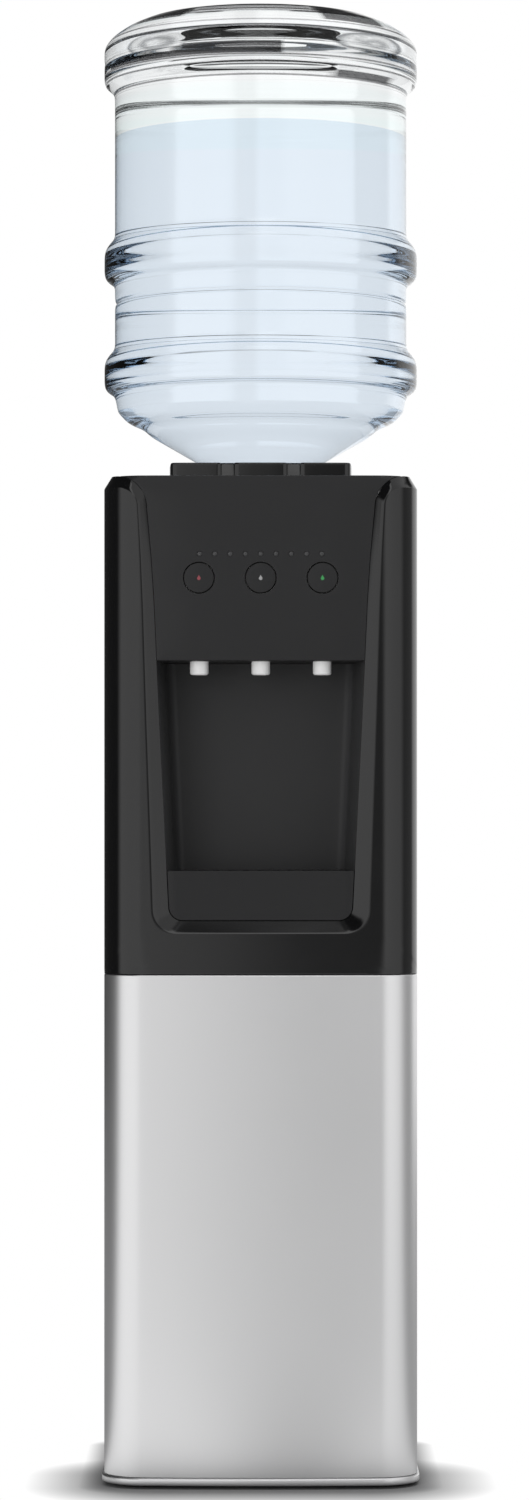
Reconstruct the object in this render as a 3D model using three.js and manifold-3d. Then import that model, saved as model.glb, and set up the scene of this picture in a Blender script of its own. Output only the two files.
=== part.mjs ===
// Free-standing water dispenser with an inverted refillable bottle
// Millimetres, +Z up, front towards -Y, origin on the floor under the middle
import * as THREE from "three";
import { mergeVertices } from "three/addons/utils/BufferGeometryUtils.js";
import Module from "manifold-3d";

const wasm = await Module();
wasm.setup();

// Clearances
const seatGap = 0.3;
const slideGap = 0.5;
const cutOverrun = 2;
const weldTolerance = 0.0001;

// Facet counts
const bottleFacets = 24;
const tankFacets = 20;
const buttonFacets = 16;
const nozzleFacets = 14;
const bodyFacets = 10;
const smallFacets = 8;
const windowFacets = 6;
const pipeSides = 6;
const fineSides = 5;
const cornerSteps = 5;
const bowSteps = 6;
const flareSteps = 4;
const bendSteps = 2;

// Cabinet
const cabinetWidth = 270;
const frontReach = 143;
const rearReach = 143;
const frontBowRadius = 1700;
const frontCornerRadius = 34.5;
const cabinetHeight = 868;
const chamferRun = 6.5;
const chamferDrop = 10.5;
const bandJointHeight = 440;
const frontMouldingDepth = 43;
const mouldedWall = 3;
const sheetWall = 1.5;
const bandFlange = 13;

// Base
const footHeight = 3;
const footRadius = 14;
const footPinRadius = 4;
const footPinHeight = 5.7;
const footSetback = 30;
const lipHeight = 6.5;
const lipOutset = 2;
const upstandInset = 10.3;
const upstandWall = 2.5;
const upstandHeight = 20;
const railWidth = 16;
const railHeight = 10;

// Bevelled opening, its edges measured from the cabinet's sides and from the joint below it
const sillHeight = 35.6;
const sillSlope = 10.1;
const outerFootMargin = 43.6;
const outerHeadMargin = 30;
const outerCorner = 20;
const outerFlare = 17;
const innerFootMargin = 56.3;
const innerHeadMargin = 37.1;
const innerCorner = 12.5;
const innerFlare = 28;
const sideHeightShares = [0.25, 0.5, 0.77, 0.88];
const sideWidthShares = [0.22, 0.45, 0.67, 0.8];
const panelSetback = 8.7;
const bevelLand = 0.4;

// Control panel
const hoodDrop = 159.1;
const panelWall = 3;
const panelDepth = 5.6;
const panelFlange = 5;
const panelFlangeDrop = 33;
const outletSpacing = 53;
const buttonDrop = 88;
const buttonRadius = 13.1;
const buttonRing = 0.6;
const buttonFace = 4;
const buttonSkirt = 3;
const buttonWall = 2.1;
const stemRadius = 3;
const stemLength = 16;
const sleeveWall = 1.8;
const sleeveLength = 9;
const windowCount = 9;
const windowRadius = 1.95;
const windowPitch = 13.1;
const windowDrop = 67.4;
const windowSet = 0.2;
const guideBarHeight = 9;
const guideBarDepth = 2.1;
const guideBarMargin = 6;
const boardThickness = 1.6;
const boardStandoff = 5.4;
const boardTopDrop = 23;
const boardHeight = 47.5;
const boardHalfWidth = 62;
const boardPostRadius = 2.5;
const relayWidth = 18;
const relayDepth = 12;

// Alcove behind the opening
const linerWall = 2;
const linerFlange = 5;
const linerFlangeWall = 2;
const alcoveDepth = 90.3;
const alcoveTaperShare = 0.9;

// Drip tray and grille
const trayHeight = 43.3;
const trayWall = 2.5;
const trayDepth = 82;
const trayFascia = 3.4;
const trayLedge = 1.5;
const grilleThickness = 3;
const grilleSet = 0.5;
const grilleSlotMargin = 12;
const grilleSlotWidth = 5;
const grilleSlotPitch = 13;
const grilleSlotLength = 28;
const grilleRib = 5;

// Outlets and valves
const outletSetback = 26.3;
const nozzleRadius = 8;
const nozzleBore = 5.5;
const nozzleDrop = 11.5;
const nozzleFlange = 11;
const nozzleFlangeWall = 2;
const nozzleLead = 1.2;
const valveRadius = 13;
const valveFlangeRadius = 15.2;
const valveFlangeWall = 3;
const valveDepth = 26;
const valveBarbRadius = 4;
const valveBarbLength = 12;
const valveTubeRadius = 5;
const valveTubeBore = 3.4;
const valveTubeEnd = 5;
const stemClearance = 0.5;
const stemBoreDepth = 13;
const springRadius = 7;
const springWire = 0.5;
const springTurns = 3;
const springTurnSteps = 7;
const springSides = 4;

// Top cover and bottle seat
const coverThickness = 3;
const coverRim = 8;
const coverRimWall = 2;
const coverRearGap = 1.8;
const collarSide = 158;
const collarHeight = 15;
const collarCorner = 3;
const collarBlock = 45.5;
const collarNotchWidth = 11;
const collarNotchDepth = 4;
const collarWall = 5;
const collarDeck = 5;
const funnelOuter = 54;
const wellRadius = 32;
const wellWall = 2.5;
const wellDepth = 65;
const wellFloor = 3;
const wellDrainRadius = 5.5;
const probeRadius = 9;
const probeBore = 6;
const probeFlangeRadius = 14;
const probeFlangeWall = 3;
const probeHeight = 47;
const probePortSize = 5;
const probeCrown = 8;

// Bottle
const mouthLift = 9;
const neckRadius = 27.5;
const neckLength = 59.7;
const neckWall = 2.5;
const bottleWall = 1.8;
const coneRadius = 97.2;
const coneRise = 40.4;
const shoulderRadius = 126.7;
const shoulderRise = 22.3;
const shoulderStepShares = [0.24, 0.69, 0.93];
const shoulderRiseShares = [0.29, 0.54, 0.87];
const bodyRadius = 129.1;
const ringSwell = 9.3;
const ringHeight = 40.7;
const lowerRingLift = 13.2;
const ringSpacing = 97.9;
const ringRiseShares = [0, 0.09, 0.2, 0.67, 0.82, 1];
const ringSwellShares = [0, 0.7, 1, 1, 0.72, 0];
const rimLift = 168.2;
const rimHeight = 64.3;
const rimRiseShares = [0, 0.08, 0.143, 0.633, 0.76, 0.888, 0.985, 1];
const rimRadiusShares = [0.933, 0.961, 1, 1, 0.952, 0.865, 0.759, 0.73];
const puntRadius = 68;
const puntDepth = 10;
const airDepth = 33.7;
const waterGap = 0.3;
const capRadius = 30.5;
const capHeight = 20;
const capTopWall = 2;
const capBore = 10;

// Cold side
const coldTankRadius = 66;
const coldTankLift = 11.1;
const coldTankDrop = 16;
const coldTankWall = 2;
const coldTankRoomShare = 0.4324;
const jacketWall = 14;
const jacketRim = 3;
const wellHoleGap = 1.5;

// Hot side
const hotTankRadius = 48;
const hotTankInset = 73;
const hotTankLift = 11.45;
const hotTankHeight = 152;
const hotTankSkirt = 44;
const hotTankSkirtWall = 3;
const hotTankCorner = 9;
const hotTankNipple = 9;
const hotTankNippleLength = 12;
const hotTankDomeShares = [0.918, 0.625];
const hotTankDomeDrops = [12, 3];
const hotTankDomeStart = 25;
const terminalSize = 9;
const bandWidth = 30;
const bandWall = 3;
const bandLift = 88;

// Decks
const deckRim = 10;
const deckInset = 10.3;
const backSetback = 30;
const backLap = 11.85;
const backFlange = 12;
const sideReturnFront = 10;
const sideReturnRear = 14;

// Hoses and pipes
const hoseRadius = 4.5;
const hoseHoleGap = 0.7;
const hoseBend = 12;
const hoseLead = 6;
const coldPortLift = 13;
const coldPortSide = 32;
const hotHoseMargin = 27;
const hotHoseSetback = 68.3;
const hotHoseLift = 30;
const feedSide = 45;
const feedOutside = 75;
const feedPortDrop = 40;
const refrigerantRadius = 4;
const capillaryRadius = 2;
const pipeBend = 12;
const capillaryBend = 8;

// Drain at the back
const drainMargin = 19;
const drainLift = 37;
const drainRadius = 6;
const drainBend = 14;
const drainOut = 20;
const drainCapWall = 2;
const drainCapLength = 14;

// Compressor
const compressorRadius = 55;
const compressorInset = 78;
const compressorHeight = 130;
const compressorSeam = 0.55;
const compressorSeamWidth = 3;
const compressorSeamHeight = 6;
const compressorDomeShares = [0.55, 0.93];
const compressorDomeRiseShares = [1, 0.86];
const compressorFootLength = 156;
const compressorFootWidth = 70;
const compressorFootThickness = 3;
const grommetRadius = 9;
const stubRadius = 6;
const stubLength = 8;
const stubSpread = 32;

// Condenser on the back
const condenserMargin = 55;
const condenserBottom = 150;
const condenserPitch = 64;
const condenserRuns = 7;
const condenserTube = 2.8;
const condenserWire = 1.3;
const condenserWireCount = 7;
const condenserWireBite = 0.5;
const condenserStandoff = 14;
const condenserStub = 5;
const condenserTab = 10;
const condenserTabInset = 12;
const condenserTabWall = 3;
const dischargeMargin = 37;
const suctionMargin = 20;
const suctionInset = 18;
const suctionPortLift = 23;
const capillaryInset = 9;
const capillaryRoom = 18;
const capillaryPortLift = 53;
const capillaryPortOffset = 18;
const riserHeight = 185;

// Rear switches
const switchDrop = 208;
const switchSpacing = 24;
const switchWidth = 13;
const switchBodyHeight = 22;
const switchDepth = 17;
const switchFlange = 2;
const switchFlangeWall = 1.8;
const rockerWidth = 10;
const rockerReach = 8.3;
const rockerHub = 4.2;
const rockerEnd = 3;
const rockerMiddle = 1.3;
const rockerHubSteps = 6;
const rockerPocket = 9.3;
const rockerPocketDepth = 5.6;
const rockerTilt = 8;

// Cord gland
const glandMargin = 27;
const glandLift = 15.45;
const glandRadius = 9;
const glandBody = 6.5;
const glandBore = 4;
const glandOut = 5;
const glandNut = 4;

// Places worked out from the sizes
const halfWidth = cabinetWidth / 2;
const cornerCentreX = halfWidth - frontCornerRadius;
const bowCentreY = frontBowRadius - frontReach;
const cornerSpan = frontBowRadius - frontCornerRadius;
const cornerCentreY = bowCentreY - Math.sqrt(cornerSpan ** 2 - cornerCentreX ** 2);
const cornerTurn = Math.atan2(cornerCentreX, bowCentreY - cornerCentreY);
const seamY = frontMouldingDepth - frontReach;
const chamferLevel = cabinetHeight - chamferDrop;
const lipTop = footHeight + lipHeight;
const lowerTop = bandJointHeight - seatGap / 2;
const upperBottom = bandJointHeight + seatGap / 2;
const deckTop = lowerTop - mouldedWall - seatGap;
const outerEdge = {
  bottom: bandJointHeight + sillHeight,
  foot: halfWidth - outerFootMargin,
  head: halfWidth - outerHeadMargin,
  corner: outerCorner,
  flare: outerFlare,
  top: chamferLevel,
};
const innerEdge = {
  bottom: outerEdge.bottom + sillSlope,
  foot: halfWidth - innerFootMargin,
  head: halfWidth - innerHeadMargin,
  corner: innerCorner,
  flare: innerFlare,
  top: cabinetHeight,
};
const panelReach = frontReach - panelSetback;
const openingFlangeReach = panelReach - mouldedWall - seatGap;
const panelRearReach = panelReach - panelDepth;
const panelFlangeReach = openingFlangeReach - seatGap;
const backY = rearReach - backSetback;
const outletX = outletSpacing;
const outletY = outletSetback - panelReach;
const alcoveBackReach = panelReach - alcoveDepth;
const hoodHeight = cabinetHeight - hoodDrop;
const ceilingTop = hoodHeight + linerWall;
const panelFlangeTop = cabinetHeight - panelFlangeDrop;
const buttonHeight = cabinetHeight - buttonDrop;
const windowHeight = cabinetHeight - windowDrop;
const boardTop = cabinetHeight - boardTopDrop;
const boardBottom = boardTop - boardHeight;
const trayTop = innerEdge.bottom + trayHeight;
const collarBottom = cabinetHeight + seatGap;
const collarTop = cabinetHeight + collarHeight;
const sleeveReach = panelReach - panelWall - sleeveLength;
const valveReach = sleeveReach - seatGap;
const panelFaceRear = panelReach - panelWall;
const valveRear = valveReach - valveDepth;
const barbReach = valveRear - valveBarbLength;
const wellFloorTop = cabinetHeight - wellDepth;
const probeTop = wellFloorTop + probeHeight;
const bottleMouthHeight = wellFloorTop + mouthLift;
const neckTop = bottleMouthHeight + neckLength;
const coneTop = neckTop + coneRise;
const shoulderTop = coneTop + shoulderRise;
const lowerRingBase = shoulderTop + lowerRingLift;
const upperRingBase = lowerRingBase + ringSpacing;
const rimBase = upperRingBase + rimLift;
const waterLevel = rimBase - airDepth;
const coldTankBottom = ceilingTop + coldTankLift;
const coldTankTop = cabinetHeight - coldTankDrop;
const jacketRadius = coldTankRadius + jacketWall;
const jacketTop = coldTankTop + jacketRim;
const tankRoom = backY + barbReach - jacketRadius * 2;
const coldTankSetback = tankRoom * coldTankRoomShare + jacketRadius - barbReach;
const hotTankSetback = backY - hotTankInset;
const hotTankBottom = deckTop + hotTankLift;
const hotTankTop = hotTankBottom + hotTankHeight;
const bandHeight = hotTankBottom + bandLift;
const backBottom = deckTop - backLap;
const coldPortHeight = coldTankBottom + coldPortLift;
const hotHoseSide = halfWidth - hotHoseMargin;
const hotHoseBack = panelReach - hotHoseSetback;
const hotHoseHeight = hotTankTop + hotHoseLift;
const feedPortHeight = hotTankTop - feedPortDrop;
const drainSide = halfWidth - drainMargin;
const drainHeight = hotTankBottom + drainLift;
const compressorSetback = backY - compressorInset;
const condenserHalfWidth = halfWidth - condenserMargin;
const condenserReach = backY + condenserStandoff;
const dischargeSide = halfWidth - dischargeMargin;
const suctionSide = halfWidth - suctionMargin;
const suctionBack = backY - suctionInset;
const suctionPortHeight = coldTankBottom + suctionPortLift;
const capillaryBack = backY - capillaryInset;
const capillarySide = jacketRadius + capillaryRoom;
const capillaryPortHeight = coldTankBottom + capillaryPortLift;
const capillaryPortBack = coldTankSetback + capillaryPortOffset;
const switchHeight = cabinetHeight - switchDrop;
const glandSide = halfWidth - glandMargin;
const glandHeight = deckTop + glandLift;
const openingTop = cabinetHeight + cutOverrun * 4;
const openingHub = cabinetHeight + cutOverrun * 3;

// Finishes
function finish(color, roughness, metalness) {
  return new THREE.MeshStandardMaterial({ color, roughness, metalness });
}
const blackShell = finish(0x1b1b1c, 0.32, 0);
const blackPanel = finish(0x151516, 0.22, 0);
const alcoveBlack = finish(0x18181a, 0.5, 0);
const silverShell = finish(0xc9cacc, 0.35, 0.6);
const whitePlastic = finish(0xf0f0ee, 0.4, 0);
const blackRubber = finish(0x111111, 0.85, 0);
const sheetSteel = finish(0x9a9c9e, 0.45, 0.8);
const tankSteel = finish(0xb9bcc0, 0.3, 0.9);
const foamGrey = finish(0xd9d6cc, 0.9, 0);
const hoseClear = finish(0xe4e6e4, 0.45, 0);
const copper = finish(0xb4724a, 0.35, 0.9);
const compressorBlack = finish(0x161617, 0.45, 0.3);
const boardGreen = finish(0x2c5b3a, 0.6, 0);
const windowGrey = finish(0x5a5c60, 0.3, 0);
const switchRed = finish(0xa03028, 0.4, 0);
const switchGreen = finish(0x2f7a44, 0.4, 0);
const bottleClear = finish(0xdfeaf2, 0.08, 0);
const waterClear = finish(0xc9dcec, 0.05, 0);
const capBlue = finish(0x5f93c4, 0.5, 0);

const dispenser = new THREE.Group();

function piece(name, shape, material, parent = dispenser) {
  const mesh = new THREE.Mesh(tidy(shape), material);
  mesh.name = name;
  parent.add(mesh);
  return mesh;
}

// Welds equal corners, drops slivers that fold on themselves and turns the faces out
function tidy(geometry) {
  const bare = new THREE.BufferGeometry();
  bare.setAttribute("position", geometry.getAttribute("position").clone());
  if (geometry.index) {
    bare.setIndex(geometry.index.clone());
  }
  const welded = mergeVertices(bare, weldTolerance);
  const corners = welded.getAttribute("position");
  const source = welded.index.array;
  const kept = [];
  const a = new THREE.Vector3();
  const b = new THREE.Vector3();
  const c = new THREE.Vector3();
  let volume = 0;
  for (let start = 0; start < source.length; start += 3) {
    const [first, second, third] = source.slice(start, start + 3);
    if (first === second || second === third || third === first) {
      continue;
    }
    kept.push(first, second, third);
    a.fromBufferAttribute(corners, first);
    b.fromBufferAttribute(corners, second);
    c.fromBufferAttribute(corners, third);
    volume += a.dot(b.cross(c));
  }
  if (volume < 0) {
    kept.reverse();
  }
  welded.setIndex(kept);
  return welded;
}

function solid(geometry) {
  const clean = tidy(geometry);
  const mesh = new wasm.Mesh({
    numProp: 3,
    vertProperties: new Float32Array(clean.getAttribute("position").array),
    triVerts: new Uint32Array(clean.index.array),
  });
  return new wasm.Manifold(mesh);
}

function shapeOf(body) {
  const mesh = body.getMesh();
  const geometry = new THREE.BufferGeometry();
  geometry.setAttribute("position", new THREE.BufferAttribute(mesh.vertProperties, mesh.numProp));
  geometry.setIndex(new THREE.BufferAttribute(mesh.triVerts, 1));
  return geometry;
}

function joined(...shapes) {
  return shapes.map((shape) => solid(shape)).reduce((whole, next) => whole.add(next));
}

function cut(base, ...tools) {
  return tools.reduce((rest, tool) => rest.subtract(solid(tool)), base);
}

// Skins a stack of equal rings that turn anticlockwise seen from the last one
function loft(rings, hub = null) {
  const count = rings[0].length;
  const places = rings.flat().flatMap((point) => [point.x, point.y, point.z]);
  const faces = [];
  for (let level = 1; level < rings.length; level += 1) {
    for (let spot = 0; spot < count; spot += 1) {
      const next = (spot + 1) % count;
      const low = (level - 1) * count;
      const high = level * count;
      faces.push(low + spot, low + next, high + next);
      faces.push(low + spot, high + next, high + spot);
    }
  }
  const lastStart = (rings.length - 1) * count;
  for (const [ring, start, up] of [[rings[0], 0, false], [rings.at(-1), lastStart, true]]) {
    const flat = ring.map((point) => new THREE.Vector2(point.x, point.y));
    let fans = [];
    if (hub) {
      const middle = places.length / 3 - start;
      places.push(hub.x, hub.y, ring[0].z);
      flat[middle] = new THREE.Vector2(hub.x, hub.y);
      fans = ring.map((_, spot) => [middle, spot, (spot + 1) % count]);
    } else {
      fans = THREE.ShapeUtils.triangulateShape(flat, []);
    }
    for (const [first, second, third] of fans) {
      const across = flat[second].clone().sub(flat[first]);
      const along = flat[third].clone().sub(flat[first]);
      const upward = across.cross(along) > 0;
      const pair = upward === up ? [second, third] : [third, second];
      faces.push(start + first, start + pair[0], start + pair[1]);
    }
  }
  const geometry = new THREE.BufferGeometry();
  geometry.setAttribute("position", new THREE.Float32BufferAttribute(places, 3));
  geometry.setIndex(faces);
  return geometry;
}

function prism(outline, low, high, holes = []) {
  const shape = new THREE.Shape(outline);
  shape.holes = holes.map((hole) => new THREE.Path(hole));
  const geometry = new THREE.ExtrudeGeometry(shape, { depth: high - low, bevelEnabled: false });
  return geometry.translate(0, 0, low);
}

// Turns a shape drawn in front view, height along Y and reach along Z, to stand upright
function stand(geometry) {
  return geometry.rotateX(Math.PI / 2);
}

// Turns a shape drawn in front view so that its reach runs to the back
function standBack(geometry) {
  return geometry.rotateX(Math.PI / 2).rotateZ(Math.PI);
}

function block(x0, x1, y0, y1, z0, z1) {
  const geometry = new THREE.BoxGeometry(x1 - x0, y1 - y0, z1 - z0);
  return geometry.translate((x0 + x1) / 2, (y0 + y1) / 2, (z0 + z1) / 2);
}

function revolve(profile, facets) {
  const points = profile.map(([radius, height]) => new THREE.Vector2(radius, height));
  return new THREE.LatheGeometry(points, facets).rotateX(Math.PI / 2);
}

function rod(radius, low, high, facets = smallFacets) {
  return revolve([[0, low], [radius, low], [radius, high], [0, high]], facets);
}

function tube(inner, outer, low, high, facets = smallFacets) {
  return revolve([[inner, low], [outer, low], [outer, high], [inner, high], [inner, low]], facets);
}

function circle(radius, x, y, facets = smallFacets) {
  const points = [];
  for (let step = 0; step < facets; step += 1) {
    const angle = (step / facets) * Math.PI * 2;
    points.push(new THREE.Vector2(x + radius * Math.cos(angle), y + radius * Math.sin(angle)));
  }
  return points;
}

function mirrored(points) {
  return points.map((point) => point.clone().setX(-point.x)).reverse();
}

// A path of straight legs with round bends, with its rings set only where they are needed
class PipeRun extends THREE.Curve {
  constructor(legs, bend) {
    super();
    this.rings = [];
    const knots = legs.map((leg) => new THREE.Vector3(...leg));
    const last = knots.length - 1;
    const start = knots[1].clone().sub(knots[0]).normalize();
    const end = knots[last].clone().sub(knots[last - 1]).normalize();
    this.rings.push([knots[0], start]);
    for (let spot = 1; spot < last; spot += 1) {
      const before = knots[spot].clone().sub(knots[spot - 1]).normalize();
      const after = knots[spot + 1].clone().sub(knots[spot]).normalize();
      const turn = before.angleTo(after);
      const setback = bend * Math.tan(turn / 2);
      const side = after.clone().addScaledVector(before, -before.dot(after)).normalize();
      const entry = knots[spot].clone().addScaledVector(before, -setback);
      const steps = Math.max(1, Math.round((bendSteps * turn * 2) / Math.PI));
      for (let step = 0; step <= steps; step += 1) {
        const angle = (turn * step) / steps;
        const place = entry.clone();
        place.addScaledVector(before, bend * Math.sin(angle));
        place.addScaledVector(side, bend * (1 - Math.cos(angle)));
        const heading = before.clone().multiplyScalar(Math.cos(angle));
        heading.addScaledVector(side, Math.sin(angle));
        this.rings.push([place, heading]);
      }
    }
    this.rings.push([knots[last], end]);
  }

  get steps() {
    return this.rings.length - 1;
  }

  getPoint(share, target = new THREE.Vector3()) {
    const spot = share * this.steps;
    const low = Math.min(Math.floor(spot), this.steps - 1);
    return target.lerpVectors(this.rings[low][0], this.rings[low + 1][0], spot - low);
  }

  getPointAt(share, target) {
    return this.getPoint(share, target);
  }

  getTangent(share, target = new THREE.Vector3()) {
    const spot = Math.min(Math.round(share * this.steps), this.steps);
    return target.copy(this.rings[spot][1]);
  }

  getTangentAt(share, target) {
    return this.getTangent(share, target);
  }
}

function pipe(legs, radius, bend, sides = pipeSides) {
  const run = new PipeRun(legs, bend);
  const section = new THREE.Shape(circle(radius, 0, 0, sides));
  return new THREE.ExtrudeGeometry(section, { steps: run.steps, extrudePath: run, bevelEnabled: false });
}

// Front edge of the cabinet in plan, from its left side round to its right side
function frontEdge(inset) {
  const points = [];
  const corner = frontCornerRadius - inset;
  const sweep = Math.PI / 2 - cornerTurn;
  for (let step = 0; step <= cornerSteps; step += 1) {
    const angle = Math.PI + (sweep * step) / cornerSteps;
    points.push([corner * Math.cos(angle) - cornerCentreX, cornerCentreY + corner * Math.sin(angle)]);
  }
  for (let step = 1; step < bowSteps; step += 1) {
    const angle = cornerTurn * ((2 * step) / bowSteps - 1) - Math.PI / 2;
    const bow = frontBowRadius - inset;
    points.push([bow * Math.cos(angle), bowCentreY + bow * Math.sin(angle)]);
  }
  for (let step = 0; step <= cornerSteps; step += 1) {
    const angle = cornerTurn - Math.PI / 2 + (sweep * step) / cornerSteps;
    points.push([cornerCentreX + corner * Math.cos(angle), cornerCentreY + corner * Math.sin(angle)]);
  }
  return points.map(([x, y]) => new THREE.Vector2(x, y));
}

function plan(inset, back) {
  const side = halfWidth - inset;
  return [...frontEdge(inset), new THREE.Vector2(side, back), new THREE.Vector2(-side, back)];
}

function planRing(inset, back, level) {
  return plan(inset, back).map((point) => new THREE.Vector3(point.x, point.y, level));
}

// How far the front skin reaches forward at a distance from the middle
function skinReach(x) {
  const side = Math.abs(x);
  if (side <= frontBowRadius * Math.sin(cornerTurn)) {
    return Math.sqrt(frontBowRadius ** 2 - side ** 2) - bowCentreY;
  }
  return Math.sqrt(frontCornerRadius ** 2 - (side - cornerCentreX) ** 2) - cornerCentreY;
}

// Half of an edge of the bevelled opening, from the middle of its foot to its top corner
function openingHalf(edge, grow) {
  const corner = edge.corner + grow;
  const flare = edge.flare - grow;
  const flareLevel = edge.top - edge.flare;
  const rise = flareLevel - edge.bottom;
  const heights = [0, ...sideHeightShares, 1];
  const widths = [0, ...sideWidthShares, 1];
  const sideAt = (height) => {
    const share = Math.max(0, (height - edge.bottom) / rise);
    const spot = Math.max(1, heights.findIndex((value) => value >= share));
    const part = (share - heights[spot - 1]) / (heights[spot] - heights[spot - 1]);
    const width = widths[spot - 1] + part * (widths[spot] - widths[spot - 1]);
    return edge.foot + width * (edge.head - edge.foot) + grow;
  };
  const footLevel = edge.bottom - grow;
  const cornerX = sideAt(footLevel + corner) - corner;
  const points = [];
  for (let step = 1; step < bowSteps / 2; step += 1) {
    points.push([(cornerX * step * 2) / bowSteps, footLevel]);
  }
  for (let step = 0; step <= cornerSteps; step += 1) {
    const angle = ((step / cornerSteps - 1) * Math.PI) / 2;
    points.push([cornerX + corner * Math.cos(angle), footLevel + corner + corner * Math.sin(angle)]);
  }
  for (const share of sideHeightShares) {
    const height = edge.bottom + share * rise;
    points.push([sideAt(height), height]);
  }
  for (let step = 0; step <= flareSteps; step += 1) {
    const angle = Math.PI - ((step / flareSteps) * Math.PI) / 2;
    points.push([edge.head + edge.flare + flare * Math.cos(angle), flareLevel + flare * Math.sin(angle)]);
  }
  points.push([halfWidth + cutOverrun, edge.top - grow]);
  points.push([halfWidth + cutOverrun, openingTop]);
  return { points: points.map(([x, z]) => new THREE.Vector2(x, z)), footLevel };
}

// One ring of the opening at a reach, drawn in front view
function openingRing({ edge, grow, reach, narrow = 1, onSkin = false }) {
  const { points, footLevel } = openingHalf(edge, grow);
  const limit = edge.head + edge.flare;
  const whole = [new THREE.Vector2(0, footLevel), ...points, ...mirrored(points)];
  return whole.map((point) => {
    const depth = onSkin ? skinReach(Math.min(Math.abs(point.x), limit)) - bevelLand : reach;
    return new THREE.Vector3(point.x * narrow, point.y, depth);
  });
}

function openingLoft(...rings) {
  const hub = new THREE.Vector2(0, openingHub);
  return stand(loft(rings.map((ring) => openingRing(ring)), hub));
}

function slab(low, high) {
  const wide = cabinetWidth;
  return block(-wide, wide, -wide, wide, low, high);
}

function frontOf(reach) {
  const wide = cabinetWidth;
  return block(-wide, wide, -wide, -reach, 0, cabinetHeight + wide);
}

// Base pan with its lip, upstand and compressor rails
const panLip = prism(plan(-lipOutset, rearReach + lipOutset), footHeight, lipTop);
const upstandBack = rearReach - sideReturnRear / 2;
const upstandHole = plan(upstandInset + upstandWall, upstandBack - upstandWall);
const upstandPlan = plan(upstandInset, upstandBack);
const upstand = prism(upstandPlan, lipTop - seatGap, lipTop + upstandHeight, [upstandHole]);
const compressorHalf = compressorFootLength / 2;
const railTop = lipTop + railHeight;
const railReach = compressorFootWidth / 2;
const rails = [-1, 1].map((side) => {
  const middle = side * (compressorHalf - railWidth / 2);
  const low = compressorSetback - railReach;
  const high = compressorSetback + railReach;
  return block(middle - railWidth / 2, middle + railWidth / 2, low, high, lipTop - seatGap, railTop);
});
const footX = halfWidth - footSetback;
const footFrontY = footSetback - frontReach;
const footRearY = rearReach - footSetback;
const footPlaces = [
  ["foot_front_left", -footX, footFrontY],
  ["foot_front_right", footX, footFrontY],
  ["foot_rear_left", -footX, footRearY],
  ["foot_rear_right", footX, footRearY],
];
const footTop = footHeight - seatGap;
const footHoles = footPlaces.map(([, x, y]) => {
  return rod(footPinRadius + seatGap, 0, footTop + footPinHeight + seatGap).translate(x, y, 0);
});
piece("base_pan", shapeOf(cut(joined(panLip, upstand, ...rails), ...footHoles)), silverShell);

const footProfile = [
  [0, 0],
  [footRadius, 0],
  [footRadius, footTop],
  [footPinRadius, footTop],
  [footPinRadius, footTop + footPinHeight],
  [0, footTop + footPinHeight],
];
for (const [name, x, y] of footPlaces) {
  piece(name, revolve(footProfile, smallFacets), blackRubber).position.set(x, y, 0);
}

// Lower front panel, a shell round the front and both corners with a return at its top
const lowerBottom = lipTop + seatGap;
const shellBack = seamY + cutOverrun;
const lowerSkin = solid(prism(plan(0, seamY), lowerBottom, lowerTop));
const lowerHollow = prism(plan(mouldedWall, shellBack), lowerBottom - cutOverrun, lowerTop - mouldedWall);
const bandInset = mouldedWall + bandFlange;
const lowerMouth = prism(plan(bandInset, shellBack), lowerBottom, lowerTop + cutOverrun);
piece("lower_front_panel", shapeOf(cut(lowerSkin, lowerHollow, lowerMouth)), silverShell);

// Side panels, folded sheet with returns along the front and rear edges
function sidePanelRing(inset, level, frontReturn = sideReturnFront, rearReturn = sideReturnRear) {
  const outer = halfWidth - inset;
  const front = seamY + seatGap;
  const spots = [
    [outer - frontReturn, front],
    [outer, front],
    [outer, rearReach],
    [outer - rearReturn, rearReach],
    [outer - rearReturn, rearReach - sheetWall],
    [outer - sheetWall, rearReach - sheetWall],
    [outer - sheetWall, front + sheetWall],
    [outer - frontReturn, front + sheetWall],
  ];
  return spots.map(([x, y]) => new THREE.Vector3(x, y, level));
}
const lowerSide = [sidePanelRing(0, lowerBottom), sidePanelRing(0, lowerTop)];
const coverLow = cabinetHeight - coverThickness - coverRim;
const upperSide = [
  sidePanelRing(0, upperBottom),
  sidePanelRing(0, coverLow - seatGap),
  sidePanelRing(0, coverLow - seatGap, mouldedWall, mouldedWall),
  sidePanelRing(0, chamferLevel, mouldedWall, mouldedWall),
  sidePanelRing(chamferRun, cabinetHeight, mouldedWall, mouldedWall),
];
piece("lower_left_side_panel", loft(lowerSide.map((ring) => mirrored(ring))), silverShell);
piece("lower_right_side_panel", loft(lowerSide), silverShell);
piece("upper_left_side_panel", loft(upperSide.map((ring) => mirrored(ring))), blackShell);
piece("upper_right_side_panel", loft(upperSide), blackShell);

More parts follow.
